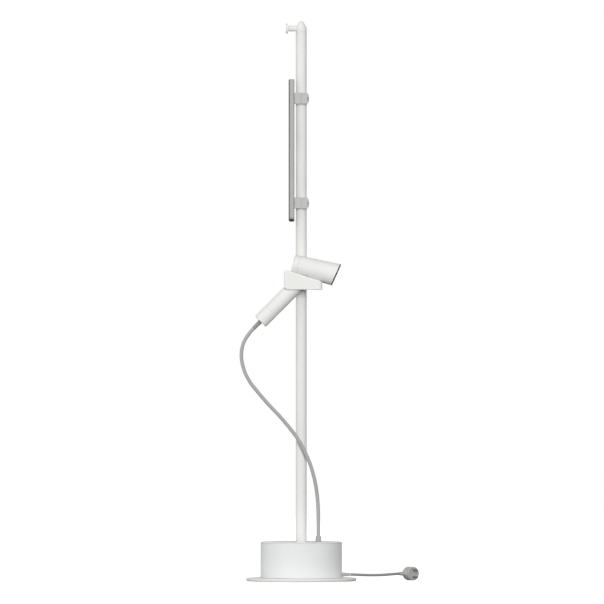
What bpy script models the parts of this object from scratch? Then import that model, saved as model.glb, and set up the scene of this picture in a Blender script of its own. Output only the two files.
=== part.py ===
"""Customer pole display: weighted floor stand, tall pole, clamped display and a corded handset.

Metres, +Z up. The origin is the centre of the round base at floor level. The display faces -X,
the handset rests in a cradle on the -Y side of the pole, and both cords end at the drum.
"""

import math

import bmesh
import bpy
from mathutils import Euler, Matrix, Vector

# ---------------------------------------------------------------- driving dimensions
GAP = 0.0003                       # clearance between touching pieces

FOOT_H = 0.0012                    # base
FOOT_RING_IN = 0.120
FOOT_RING_OUT = 0.1485
PLATE_R = 0.150
PLATE_T = 0.0068
DRUM_R = 0.111
DRUM_WALL = 0.0025
DRUM_TOP = 0.107
LID_T = 0.0032
BALLAST_R = 0.090
BALLAST_T = 0.018
BOLT_R = 0.0050
BOLT_HEAD_R = 0.0085

POLE_R = 0.0148                    # pole
POLE_WALL = 0.0015
POLE_END = 1.4955
POLE_TOP = 1.525
PEG_Z = 1.505
PEG_R = 0.0075
PEG_END = -0.0360
PEG_DISC_R = 0.0132
PEG_DISC_T = 0.0057

PANEL_FRONT = -0.0343              # display, seen from above: front face is at the lowest X
PANEL_BACK = -0.0188
PANEL_HALF_W = 0.112
PANEL_BOTTOM = 0.980
PANEL_TOP = 1.365
PANEL_CORNER = 0.008
GLASS_T = 0.0024
REAR_PLATE_T = 0.0016
STRIP_H = 0.0032
HOUSING_WALL = 0.0020

CLAMP_HEIGHTS = {"upper": 1.3148, "lower": 1.0295}
CLAMP_H = 0.030
CLAMP_SPLIT = 0.00015              # half the gap between a clamp's two halves
CLAMP_HALF_W = 0.0245
CLAMP_BACK = 0.0172
CLAMP_SCREW_Y = 0.0203
LINER_T = 0.0005
KNOB_R = 0.01185
KNOB_REACH = 0.0207

HANDSET_Y = -0.047                 # handset: one plane, beside the pole
BARREL_REAR = Vector((-0.0232, HANDSET_Y, 0.8624))
BARREL_TILT = math.radians(13.5)
BARREL_LEN = 0.1228
BARREL_R_REAR = 0.0275
BARREL_R_FRONT = 0.0307
BARREL_ROUND = 0.0065
FRONT_SLANT = math.radians(10.6)
RIM_T = 0.0035
SHELL_T = 0.0024
HANDLE_TOP = Vector((0.0313, HANDSET_Y, 0.8494))
HANDLE_ANGLE = math.radians(45.0)
HANDLE_R = 0.0207
NECK_R = 0.0140
HANDLE_LEN = 0.2016
HANDLE_CAP_LEN = 0.041
RELIEF_LEN = 0.028
TRIGGER_AT = 0.075                 # distance of its middle along the handle
TRIGGER_SIZE = (0.034, 0.014)

CRADLE_NEAR = -0.0735              # cradle
CRADLE_FAR = -0.0185
CRADLE_BOTTOM = 0.7932
CRADLE_LEFT = -0.0472
CRADLE_RIGHT = 0.0570
HANDLE_BORE_R = 0.0215
PAD_T = 0.0014
RIM_LEFT = 0.8495                  # height of the sloping rim at the two ends
RIM_RIGHT = 0.8165
STRAP_LOW = 0.7975
STRAP_HIGH = 0.8215
STRAP_HALF_W = 0.0255
STRAP_BACK = 0.0200
STRAP_SCREW_X = 0.0208

CORD_D = 0.0098                    # cords
LEAD_D = 0.0072
FERRULE_X = 0.0465
FERRULE_H = 0.0156
LEAD_Z = 0.0174
GLAND_LEN = 0.022
PLUG_CENTRE = Vector((0.298, 0.052, 0.019))
PLUG_YAW = math.radians(35.0)
PLUG_R = 0.0185
PLUG_DEPTH = 0.030
PLUG_NECK = 0.018
PIN_R = 0.0024
PIN_LEN = 0.019
PIN_PITCH = 0.019

# Routes of the two cords, from the end on the drum to the far end (metres).
CORD_ROUTE = [
    (0.0465, 0.0, 0.1229), (0.0465, 0.0, 0.1410), (0.0465, -0.0012, 0.1650),
    (0.0460, -0.0040, 0.1954), (0.0440, -0.0080, 0.2260), (0.0398, -0.0130, 0.2580),
    (0.0324, -0.0190, 0.2916), (0.0232, -0.0240, 0.3210), (0.0105, -0.0280, 0.3505),
    (-0.0040, -0.0315, 0.3790), (-0.0205, -0.0340, 0.4030), (-0.0380, -0.0365, 0.4250),
    (-0.0595, -0.0388, 0.4502), (-0.0825, -0.0406, 0.4742), (-0.1045, -0.0424, 0.4986),
    (-0.1225, -0.0438, 0.5205), (-0.1387, -0.0450, 0.5412), (-0.1530, -0.0458, 0.5680),
    (-0.1605, -0.0465, 0.5930), (-0.1630, -0.0470, 0.6120), (-0.1617, -0.0470, 0.6310),
    (-0.1570, -0.0470, 0.6490), (-0.1490, -0.0470, 0.6640), (-0.1405, -0.0470, 0.6760),
    (-0.1314, -0.0470, 0.6867),
]
LEAD_ROUTE = [
    (0.1336, 0.0, 0.0174), (0.1450, 0.0, 0.0171), (0.1600, 0.0001, 0.0166), (0.1760, 0.0006, 0.0161),
    (0.1920, 0.0020, 0.0158), (0.2080, 0.0046, 0.0159), (0.2230, 0.0084, 0.0164),
    (0.2370, 0.0133, 0.0172), (0.2500, 0.0194, 0.0182), (0.2600, 0.0255, 0.0188),
    (0.26755, 0.03068, 0.0190),
]

# ---------------------------------------------------------------- scene and materials
COLLECTION = "customer_pole_display"
ALONG_X = Vector((1.0, 0.0, 0.0))
ALONG_Y = Vector((0.0, 1.0, 0.0))
ALONG_Z = Vector((0.0, 0.0, 1.0))
BARREL_AXIS = Vector((math.cos(BARREL_TILT), 0.0, -math.sin(BARREL_TILT)))
HANDLE_AXIS = Vector((-math.cos(HANDLE_ANGLE), 0.0, -math.sin(HANDLE_ANGLE)))
HANDLE_FRONT = Vector((math.sin(HANDLE_ANGLE), 0.0, -math.cos(HANDLE_ANGLE)))
PLUG_OUT = Vector((math.sin(PLUG_YAW), -math.cos(PLUG_YAW), 0.0))
PLUG_LEAD = Vector((-math.cos(PLUG_YAW), -math.sin(PLUG_YAW), 0.0))
PLATE_TOP = FOOT_H + GAP + PLATE_T
BALLAST_TOP = PLATE_TOP + GAP + BALLAST_T
LID_BOTTOM = DRUM_TOP - LID_T
BARREL_TAPER = (BARREL_R_FRONT - BARREL_R_REAR) / BARREL_LEN

# colour, roughness and metallic value of each material
PALETTE = {
    "stand_white": ((0.80, 0.81, 0.80), 0.45, 0.0),
    "drum_white": ((0.84, 0.85, 0.86), 0.40, 0.0),
    "handset_white": ((0.88, 0.88, 0.88), 0.42, 0.0),
    "cradle_white": ((0.80, 0.80, 0.78), 0.55, 0.0),
    "clamp_grey": ((0.50, 0.50, 0.49), 0.50, 0.0),
    "panel_grey": ((0.43, 0.43, 0.42), 0.45, 0.3),
    "dark_glass": ((0.02, 0.02, 0.022), 0.08, 0.0),
    "black_plastic": ((0.03, 0.03, 0.03), 0.50, 0.0),
    "cord_grey": ((0.36, 0.36, 0.36), 0.60, 0.0),
    "dark_rubber": ((0.06, 0.06, 0.06), 0.80, 0.0),
    "foot_rubber": ((0.55, 0.55, 0.54), 0.75, 0.0),
    "bright_steel": ((0.60, 0.60, 0.60), 0.30, 1.0),
    "cast_ballast": ((0.20, 0.20, 0.20), 0.70, 0.8),
    "circuit_green": ((0.03, 0.20, 0.08), 0.55, 0.0),
}


def clear_scene():
    for obj in list(bpy.data.objects):
        bpy.data.objects.remove(obj, do_unlink=True)


def new_collection(name):
    collection = bpy.data.collections.new(name)
    bpy.context.scene.collection.children.link(collection)
    return collection


def make_materials():
    materials = {}
    for name, (colour, roughness, metallic) in PALETTE.items():
        material = bpy.data.materials.new(name)
        material.use_nodes = True
        shader = material.node_tree.nodes["Principled BSDF"]
        shader.inputs["Base Color"].default_value = (*colour, 1.0)
        shader.inputs["Roughness"].default_value = roughness
        shader.inputs["Metallic"].default_value = metallic
        material.diffuse_color = (*colour, 1.0)
        materials[name] = material
    return materials


clear_scene()
PARTS = new_collection(COLLECTION)
CUTTERS = new_collection("cutters")
MATERIALS = make_materials()


# ---------------------------------------------------------------- shape functions
def add_object(name, data, material, location=(0.0, 0.0, 0.0), axis=ALONG_Z):
    """Link a piece (or a cutter, when material is None) with its local Z turned to axis."""
    obj = bpy.data.objects.new(name, data)
    obj.location = location
    obj.rotation_euler = ALONG_Z.rotation_difference(Vector(axis)).to_euler()
    if material is None:
        obj.hide_render = True
        obj.display_type = "WIRE"
        CUTTERS.objects.link(obj)
    else:
        data.materials.append(MATERIALS[material])
        PARTS.objects.link(obj)
    return obj


def bevel(obj, width, segments=2, angle=40.0):
    mod = obj.modifiers.new("edges", "BEVEL")
    mod.width = width
    mod.segments = segments
    mod.limit_method = "ANGLE"
    mod.angle_limit = math.radians(angle)
    return obj


def boolean(obj, other, operation="DIFFERENCE"):
    mod = obj.modifiers.new(operation.lower(), "BOOLEAN")
    mod.object = other
    mod.operation = operation
    mod.solver = "EXACT"
    return obj


def block(name, size, centre, material=None, turn=(0.0, 0.0, 0.0)):
    """Box of the given size; turn is its rotation in radians."""
    mesh = bpy.data.meshes.new(name)
    bm = bmesh.new()
    bmesh.ops.create_cube(bm, size=1.0)
    bmesh.ops.scale(bm, vec=Vector(size), verts=bm.verts)
    bm.to_mesh(mesh)
    bm.free()
    obj = add_object(name, mesh, material, centre)
    obj.rotation_euler = Euler(turn)
    return obj


def rod(name, radius, start, end, material=None, segments=16):
    """Round bar from start to end."""
    start, end = Vector(start), Vector(end)
    mesh = bpy.data.meshes.new(name)
    bm = bmesh.new()
    bmesh.ops.create_cone(bm, cap_ends=True, segments=segments, radius1=radius, radius2=radius,
                          depth=(end - start).length)
    bm.to_mesh(mesh)
    bm.free()
    mesh.shade_smooth()
    mesh.set_sharp_from_angle(angle=math.radians(35.0))
    return add_object(name, mesh, material, (start + end) / 2, (end - start).normalized())


def turned(name, profile, material=None, location=(0.0, 0.0, 0.0), axis=ALONG_Z, steps=32,
           ring=False):
    """Turn (radius, height) points about the axis; they run down the outer side."""
    mesh = bpy.data.meshes.new(name)
    edges = [(i, i + 1) for i in range(len(profile) - 1)]
    if ring:
        edges.append((len(profile) - 1, 0))
    mesh.from_pydata([(radius, 0.0, height) for radius, height in profile], edges, [])
    obj = add_object(name, mesh, material, location, axis)
    mod = obj.modifiers.new("turn", "SCREW")
    mod.axis = "Z"
    mod.angle = 2.0 * math.pi
    mod.screw_offset = 0.0
    mod.steps = steps
    mod.render_steps = steps
    mod.use_merge_vertices = True
    mod.merge_threshold = 0.00005
    mod.use_smooth_shade = True
    return obj


def ring_profile(inner, outer, low, high):
    return [(outer, high), (outer, low), (inner, low), (inner, high)]


def rounded_outline(corners, steps=4):
    """Closed outline from (x, y, corner radius) points, each corner rounded by an arc."""
    outline = []
    count = len(corners)
    for i, (x, y, radius) in enumerate(corners):
        here = Vector((x, y))
        if radius <= 0.0:
            outline.append(here)
            continue
        before = (Vector(corners[i - 1][:2]) - here).normalized()
        after = (Vector(corners[(i + 1) % count][:2]) - here).normalized()
        half = before.angle(after) / 2
        centre = here + (before + after).normalized() * (radius / math.sin(half))
        first = here + before * (radius / math.tan(half)) - centre
        last = here + after * (radius / math.tan(half)) - centre
        sweep = math.copysign(math.pi - 2 * half, first.cross(last))
        for k in range(steps + 1):
            outline.append(centre + Matrix.Rotation(sweep * k / steps, 2) @ first)
    return outline


def slab(name, outline, low, high, plane, material=None):
    """Flat outline in the XZ, YZ or XY plane, extruded from low to high across that plane."""
    curve = bpy.data.curves.new(name, "CURVE")
    curve.dimensions = "2D"
    curve.fill_mode = "BOTH"
    curve.extrude = (high - low) / 2
    spline = curve.splines.new("POLY")
    spline.points.add(len(outline) - 1)
    for point, (x, y) in zip(spline.points, outline):
        point.co = (x, y, 0.0, 1.0)
    spline.use_cyclic_u = True
    middle = (low + high) / 2
    turn, normal = {"XZ": (((1, 0, 0), (0, 0, -1), (0, 1, 0)), ALONG_Y),
                    "YZ": (((0, 0, 1), (1, 0, 0), (0, 1, 0)), ALONG_X),
                    "XY": (((1, 0, 0), (0, 1, 0), (0, 0, 1)), ALONG_Z)}[plane]
    frame = Matrix(turn).to_4x4()
    frame.translation = normal * middle
    guide = bpy.data.objects.new(name + "_outline", curve)
    guide.matrix_world = frame
    CUTTERS.objects.link(guide)
    bpy.context.view_layer.update()
    mesh = bpy.data.meshes.new_from_object(
        guide.evaluated_get(bpy.context.evaluated_depsgraph_get()))
    bm = bmesh.new()
    bm.from_mesh(mesh)
    bmesh.ops.remove_doubles(bm, verts=bm.verts, dist=0.00001)
    bmesh.ops.dissolve_limit(bm, angle_limit=0.001, verts=bm.verts, edges=bm.edges)
    bmesh.ops.recalc_face_normals(bm, faces=bm.faces)
    bm.to_mesh(mesh)
    bm.free()
    mesh.name = name
    mesh.materials.clear()
    bpy.data.objects.remove(guide, do_unlink=True)
    obj = add_object(name, mesh, material)
    obj.matrix_world = frame
    return obj


def smooth_route(route, spacing):
    """Points about spacing apart on a smooth curve through the route (centripetal spline)."""
    knots = [Vector(point) for point in route]
    knots = [2 * knots[0] - knots[1]] + knots + [2 * knots[-1] - knots[-2]]
    points = []
    for i in range(1, len(knots) - 2):
        p0, p1, p2, p3 = knots[i - 1:i + 3]
        times = [0.0]
        for a, b in ((p0, p1), (p1, p2), (p2, p3)):
            times.append(times[-1] + math.sqrt((b - a).length))
        count = max(1, round((p2 - p1).length / spacing))
        for k in range(count):
            t = times[1] + (times[2] - times[1]) * k / count
            a1 = p0.lerp(p1, (t - times[0]) / (times[1] - times[0]))
            a2 = p1.lerp(p2, (t - times[1]) / (times[2] - times[1]))
            a3 = p2.lerp(p3, (t - times[2]) / (times[3] - times[2]))
            b1 = a1.lerp(a2, (t - times[0]) / (times[2] - times[0]))
            b2 = a2.lerp(a3, (t - times[1]) / (times[3] - times[1]))
            points.append(b1.lerp(b2, (t - times[1]) / (times[2] - times[1])))
    points.append(knots[-2])
    return points


def cable(name, route, diameter, material):
    """Round cable with closed ends along a smooth curve."""
    curve = bpy.data.curves.new(name, "CURVE")
    curve.dimensions = "3D"
    curve.bevel_depth = diameter / 2
    curve.bevel_resolution = 2
    curve.use_fill_caps = True
    points = smooth_route(route, 2.4 * diameter)
    spline = curve.splines.new("POLY")
    spline.points.add(len(points) - 1)
    for point, place in zip(spline.points, points):
        point.co = (*place, 1.0)
    obj = bpy.data.objects.new(name, curve)
    curve.materials.append(MATERIALS[material])
    PARTS.objects.link(obj)
    return obj


def bushing(name, nose, stem_r, wall, place, axis, material):
    """Cable bushing in a wall: nose profile outside, stem through the wall, flange inside."""
    flange_r = stem_r + 0.0025
    inside = -wall - GAP
    profile = [(0.0, nose[0][1])] + nose + [
        (stem_r, nose[-1][1]), (stem_r, inside), (flange_r, inside),
        (flange_r, inside - 0.0025), (0.0, inside - 0.0025)]
    return turned(name, profile, material, place, axis, steps=16)


def screw(name, place, axis, head_r, head_t, shank_r, shank_len, steps=10):
    """Cap screw: head standing on the place, shank running back against the axis."""
    profile = [(0.0, head_t), (head_r * 0.85, head_t), (head_r, head_t * 0.8), (head_r, 0.0),
               (shank_r, 0.0), (shank_r, -shank_len), (0.0, -shank_len)]
    return turned(name, profile, "bright_steel", place, axis, steps)


def holes(obj, radius, ends, segments=14):
    """Cut one round hole between each pair of points."""
    for start, end in ends:
        boolean(obj, rod(obj.name + "_hole", radius, start, end, None, segments))
    return obj


def pivot(name, place, pieces):
    """Empty on a joint's axis that carries the pieces of one moving body."""
    empty = bpy.data.objects.new(name, None)
    empty.location = place
    empty.empty_display_size = 0.02
    PARTS.objects.link(empty)
    bpy.context.view_layer.update()
    for piece in pieces:
        world = piece.matrix_world.copy()
        piece.parent = empty
        piece.matrix_parent_inverse = empty.matrix_world.inverted()
        piece.matrix_world = world
    return empty


# ---------------------------------------------------------------- base
def build_base():
    turned("foot_ring", ring_profile(FOOT_RING_IN, FOOT_RING_OUT, 0.0, FOOT_H), "foot_rubber",
           steps=32, ring=True)
    low = FOOT_H + GAP
    edge = 0.0018
    recess = low + 0.0034
    turned("base_plate", [
        (PLATE_R - edge, PLATE_TOP), (PLATE_R - 0.3 * edge, PLATE_TOP - 0.3 * edge),
        (PLATE_R, PLATE_TOP - edge), (PLATE_R, low + 0.0006), (PLATE_R - 0.0006, low),
        (BOLT_HEAD_R + GAP, low), (BOLT_HEAD_R + GAP, recess), (BOLT_R + GAP, recess),
        (BOLT_R + GAP, PLATE_TOP)], "stand_white", steps=40, ring=True)
    ballast_low = PLATE_TOP + GAP
    turned("ballast_disc", ring_profile(BOLT_R + GAP, BALLAST_R, ballast_low, BALLAST_TOP),
           "cast_ballast", steps=28, ring=True)
    seat = BALLAST_TOP + GAP
    screw("centre_bolt", (0.0, 0.0, recess - GAP), -ALONG_Z, BOLT_HEAD_R, 0.0028, BOLT_R,
          seat + 0.007 - recess, 20)

    low_shell = PLATE_TOP + GAP
    shell = turned("drum_shell", [
        (DRUM_R, LID_BOTTOM - GAP), (DRUM_R, low_shell), (DRUM_R - DRUM_WALL, low_shell),
        (DRUM_R - DRUM_WALL, LID_BOTTOM - GAP),
    ], "drum_white", steps=40, ring=True)
    holes(shell, 0.0049, [((DRUM_R - 0.010, 0, LEAD_Z), (DRUM_R + 0.010, 0, LEAD_Z))], 16)

    lip = DRUM_R - DRUM_WALL - GAP
    lid = turned("drum_lid", [
        (POLE_R + GAP, DRUM_TOP), (DRUM_R - 0.0022, DRUM_TOP), (DRUM_R - 0.0007, DRUM_TOP - 0.0007),
        (DRUM_R, DRUM_TOP - 0.0022), (DRUM_R, LID_BOTTOM), (lip, LID_BOTTOM), (lip, LID_BOTTOM - 0.006),
        (lip - 0.002, LID_BOTTOM - 0.006), (lip - 0.002, LID_BOTTOM), (POLE_R + GAP, LID_BOTTOM),
    ], "drum_white", steps=40, ring=True)
    holes(lid, 0.0058, [((FERRULE_X, 0, LID_BOTTOM - 0.01), (FERRULE_X, 0, DRUM_TOP + 0.01))], 20)

    floor = seat + 0.008
    turned("pole_socket", [
        (POLE_R + 0.0035, 0.080), (POLE_R + 0.0035, seat + 0.005), (0.038, seat + 0.005),
        (0.038, seat), (BOLT_R + GAP, seat), (BOLT_R + GAP, floor), (POLE_R + GAP, floor),
        (POLE_R + GAP, 0.080)], "bright_steel", steps=20, ring=True)

    supply_size = Vector((0.096, 0.042, 0.032))
    supply = block("power_supply", supply_size, (0.0, 0.066, seat + supply_size.z / 2),
                   "black_plastic")
    bevel(supply, 0.003, 2)
    board_z = seat + 0.010
    bracket = block("board_bracket", (0.090, 0.020, 0.0020), (0.0, -0.066, seat + 0.0010),
                    "bright_steel")
    for x in (-0.0442, 0.0442):
        boolean(bracket, block("bracket_ear", (0.0016, 0.020, board_z - GAP - seat),
                               (x, -0.066, (board_z - GAP + seat) / 2)), "UNION")
    board = block("controller_board", (0.092, 0.034, 0.0016), (0.0, -0.066, board_z + 0.0008),
                  "circuit_green")
    for x, y, w, d, h in ((-0.020, -0.066, 0.014, 0.014, 0.003), (0.010, -0.060, 0.010, 0.010, 0.0025),
                          (0.030, -0.070, 0.012, 0.016, 0.010)):
        boolean(board, block("chip", (w, d, h + 0.001), (x, y, board_z + 0.0016 + h / 2)), "UNION")

    bushing("mains_gland", [(0.0042, GLAND_LEN), (0.0050, 0.0034), (0.0061, 0.0028), (0.0063, GAP)],
            0.0045, DRUM_WALL + 0.0006, (DRUM_R, 0.0, LEAD_Z), ALONG_X, "cord_grey")
    bushing("cord_ferrule", [(0.0070, FERRULE_H), (0.0076, FERRULE_H - 0.0010), (0.0077, GAP)],
            0.0054, LID_T, (FERRULE_X, 0.0, DRUM_TOP), ALONG_Z, "cord_grey")


# ---------------------------------------------------------------- pole
def build_pole():
    turned("pole_tube", ring_profile(POLE_R - POLE_WALL, POLE_R, BALLAST_TOP + 2 * GAP + 0.008, POLE_END),
           "stand_white", steps=24, ring=True)
    crown = [(radius, POLE_TOP - drop) for radius, drop in (
        (0.0042, 0.0006), (0.0066, 0.0026), (0.0086, 0.0056), (0.0106, 0.0092), (0.0127, 0.0130),
        (0.0141, 0.0162), (POLE_R, 0.0205))]
    spigot = POLE_R - POLE_WALL - GAP
    head = turned("pole_head", [(0.0, POLE_TOP)] + crown + [
        (POLE_R, POLE_END + GAP), (spigot, POLE_END + GAP), (spigot, POLE_END - 0.020),
        (0.0, POLE_END - 0.020)], "stand_white", steps=24)
    holes(head, 0.0043, [((-0.020, 0, PEG_Z), (-0.0040, 0, PEG_Z))])

    bar = rod("peg_bar", PEG_R, (PEG_END, 0, PEG_Z), (-0.009, 0, PEG_Z), "stand_white", 20)
    boolean(bar, rod("pole_envelope", POLE_R + GAP, (0, 0, PEG_Z - 0.03), (0, 0, PEG_Z + 0.03), None, 24))
    boolean(bar, rod("peg_stud", 0.0040, (PEG_END + 0.012, 0, PEG_Z), (-0.0043, 0, PEG_Z)), "UNION")
    holes(bar, 0.0021, [((PEG_END - 0.01, 0, PEG_Z), (PEG_END + 0.0105, 0, PEG_Z))], 10)
    face = PEG_DISC_T
    turned("peg_disc", [
        (0.0043, face), (PEG_DISC_R - 0.0018, face), (PEG_DISC_R - 0.0005, face - 0.0006),
        (PEG_DISC_R, face - 0.0018), (PEG_DISC_R, 0.0008), (PEG_DISC_R - 0.0006, 0.0),
        (0.0021, 0.0), (0.0021, face - 0.0025), (0.0043, face - 0.0025),
    ], "stand_white", (PEG_END - GAP, 0, PEG_Z), -ALONG_X, steps=20, ring=True)
    screw("peg_screw", (PEG_END - GAP - face + 0.0022, 0, PEG_Z), -ALONG_X,
          0.0039, 0.0020, 0.0018, 0.0130, 12)


# ---------------------------------------------------------------- display
def panel_outline(inset, low, high):
    half = PANEL_HALF_W - inset
    radius = max(PANEL_CORNER - inset, 0.002)
    return rounded_outline([(-half, low, radius), (half, low, radius),
                            (half, high, radius), (-half, high, radius)])


def build_display():
    glass_back = PANEL_FRONT + GLASS_T
    tray_front = glass_back + GAP
    rear_front = PANEL_BACK - REAR_PLATE_T
    tray_back = rear_front - GAP
    tray_low = PANEL_BOTTOM + STRIP_H + GAP
    glass = slab("display_glass", panel_outline(0.0, PANEL_BOTTOM, PANEL_TOP), PANEL_FRONT, glass_back,
                 "YZ", "dark_glass")
    bevel(glass, 0.0011, 2, 60.0)

    flat = [(-PANEL_HALF_W, tray_low, 0.0), (PANEL_HALF_W, tray_low, 0.0),
            (PANEL_HALF_W, PANEL_TOP, PANEL_CORNER), (-PANEL_HALF_W, PANEL_TOP, PANEL_CORNER)]
    tray = slab("display_housing", rounded_outline(flat), tray_front, tray_back, "YZ", "panel_grey")
    wall = HOUSING_WALL
    hollow = slab("tray_hollow", panel_outline(wall, tray_low + wall, PANEL_TOP - wall),
                  tray_front - 0.01, tray_back - 0.0015, "YZ")
    boolean(tray, hollow)
    rear = slab("display_rear_plate", panel_outline(0.0, PANEL_BOTTOM, PANEL_TOP), rear_front,
                PANEL_BACK, "YZ", "panel_grey")
    strip_low = [(-PANEL_HALF_W, PANEL_BOTTOM + STRIP_H, 0.0), (-PANEL_HALF_W + 0.004, PANEL_BOTTOM, 0.0),
                 (PANEL_HALF_W - 0.004, PANEL_BOTTOM, 0.0), (PANEL_HALF_W, PANEL_BOTTOM + STRIP_H, 0.0)]
    strip = slab("display_bottom_strip", rounded_outline(strip_low), tray_front, tray_back, "YZ",
                 "black_plastic")

    screen_w = 2 * (PANEL_HALF_W - 0.007)
    screen_low = tray_low + 0.008
    screen_high = PANEL_TOP - 0.007
    lcd = block("display_lcd", (0.0030, screen_w, screen_high - screen_low),
                (tray_front + GAP + 0.0015, 0, (screen_low + screen_high) / 2), "black_plastic")
    board_x = tray_back - 0.0040
    middle = (PANEL_BOTTOM + PANEL_TOP) / 2
    board = block("display_board", (0.0014, 0.110, 0.090), (board_x, 0, middle), "circuit_green")
    for y, z, size in ((-0.020, 0.012, 0.018), (0.022, -0.014, 0.012), (0.030, 0.024, 0.009)):
        boolean(board, block("chip", (0.003, size, size), (board_x - 0.0012, y, middle + z)), "UNION")

    button_x = (tray_front + tray_back - 0.0015) / 2
    button_y = 0.080
    bore = rod("button_bore", 0.0038, (button_x, button_y, PANEL_BOTTOM - 0.01),
               (button_x, button_y, tray_low + 0.010), None, 16)
    boolean(strip, bore)
    boolean(tray, bore)
    wall_top = tray_low + wall - PANEL_BOTTOM
    button = turned("power_button", [
        (0.0, wall_top + 0.0015), (0.0043, wall_top + 0.0015), (0.0043, wall_top + GAP),
        (0.0035, wall_top + GAP), (0.0035, -0.0004), (0.0031, -0.0008), (0.0, -0.0008)],
        "panel_grey", (button_x, button_y, PANEL_BOTTOM), steps=16)

    pieces = [glass, tray, rear, strip, lcd, board]
    screw_head = tray_back - 0.0015 - GAP
    for name, z in CLAMP_HEIGHTS.items():
        clamp = build_clamp(name, z)
        bore = rod("bracket_bore", 0.0019, (screw_head - 0.002, 0, z), (screw_head + 0.006, 0, z), None, 10)
        for piece in (tray, rear, clamp[0]):
            boolean(piece, bore)
        bracket_screw = screw(name + "_bracket_screw", (screw_head, 0, z), -ALONG_X, 0.0040, 0.0016,
                              0.0016, 0.0055)
        pieces += clamp + [bracket_screw]
    pivot("display_pivot", (0.0, 0.0, middle), pieces)
    pivot("power_button_pivot", (button_x, button_y, PANEL_BOTTOM), [button])


def build_clamp(name, z):
    """Split clamp round the pole: block on the panel, strap behind, liner, knob and screws."""
    bore = rod(name + "_clamp_bore", POLE_R + LINER_T + 3 * GAP, (0, 0, z - 0.03), (0, 0, z + 0.03),
               None, 24)
    front = PANEL_BACK + GAP
    front_block = block(name + "_clamp_block", (-CLAMP_SPLIT - front, 2 * CLAMP_HALF_W, CLAMP_H),
                        ((front - CLAMP_SPLIT) / 2, 0, z), "clamp_grey")
    bevel(front_block, 0.0012, 1)
    boolean(front_block, bore)
    strap = block(name + "_clamp_strap", (CLAMP_BACK - CLAMP_SPLIT, 2 * CLAMP_HALF_W, CLAMP_H),
                  ((CLAMP_BACK + CLAMP_SPLIT) / 2, 0, z), "clamp_grey")
    bevel(strap, 0.0012, 1)
    boolean(strap, bore)
    sides = (-CLAMP_SCREW_Y, CLAMP_SCREW_Y)
    for y in sides:
        holes(strap, 0.0018, [((-0.001, y, z), (CLAMP_BACK + 0.01, y, z))], 10)
        holes(front_block, 0.0018, [((-0.0090, y, z), (0.01, y, z))], 10)
    holes(strap, 0.0034, [((0.010, 0, z), (CLAMP_BACK + 0.01, 0, z))], 12)
    clamp_screws = [screw(f"{name}_clamp_screw_{side}", (CLAMP_BACK + GAP, y, z), ALONG_X,
                          0.0028, 0.0018, 0.0015, 0.0255) for side, y in zip("ab", sides)]
    liner_r = POLE_R + GAP
    liner = turned(name + "_liner", ring_profile(liner_r, liner_r + LINER_T, -CLAMP_H / 2, CLAMP_H / 2),
                   "dark_rubber", (0, 0, z), steps=24, ring=True)
    seat = CLAMP_BACK + GAP
    rise = KNOB_REACH - seat
    knob = turned(name + "_knob", [
        (0.0, rise), (KNOB_R * 0.45, rise * 0.96), (KNOB_R * 0.80, rise * 0.74),
        (KNOB_R * 0.97, rise * 0.42), (KNOB_R, rise * 0.15), (KNOB_R * 0.97, 0.0), (0.0030, 0.0),
        (0.0030, -0.0014), (0.0, -0.0014)], "clamp_grey", (seat, 0, z), ALONG_X, steps=20)
    pivot(name + "_knob_pivot", (seat, 0.0, z), [knob])
    pivot(name + "_liner_pivot", (0.0, 0.0, z), [liner])
    return [front_block, strap] + clamp_screws


# ---------------------------------------------------------------- handset
def barrel_radius(along):
    return BARREL_R_REAR + BARREL_TAPER * along


def barrel_profile(offset, front):
    """Outer side of the barrel, moved out by offset, from the front down to the rear."""
    points = [(barrel_radius(front) + offset, front)]
    shoulder = barrel_radius(BARREL_ROUND)
    for degrees in (0, 22.5, 45, 67.5, 90):
        a = math.radians(degrees)
        points.append((shoulder - BARREL_ROUND + (BARREL_ROUND + offset) * math.cos(a),
                       BARREL_ROUND - (BARREL_ROUND + offset) * math.sin(a)))
    return points


def barrel_solid(name, offset):
    """Cutter of the barrel's outer shape."""
    top = BARREL_LEN + 0.03
    side = barrel_profile(offset, top)
    return turned(name, [(0.0, top)] + side + [(0.0, -offset)], None, BARREL_REAR, BARREL_AXIS, 28)


def front_slab(name, back, front, radius=0.05):
    """Slanted slice of the barrel's nose between two distances from its front plane."""
    middle = BARREL_REAR + BARREL_AXIS * (BARREL_LEN + (back + front) / 2)
    tilt = BARREL_TILT + FRONT_SLANT
    size = ((front - back) * math.cos(FRONT_SLANT), 2 * radius, 2 * radius)
    return block(name, size, middle, None, (0.0, tilt, 0.0))


def on_handle(along, out=0.0):
    return HANDLE_TOP + HANDLE_AXIS * along + HANDLE_FRONT * out


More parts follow.
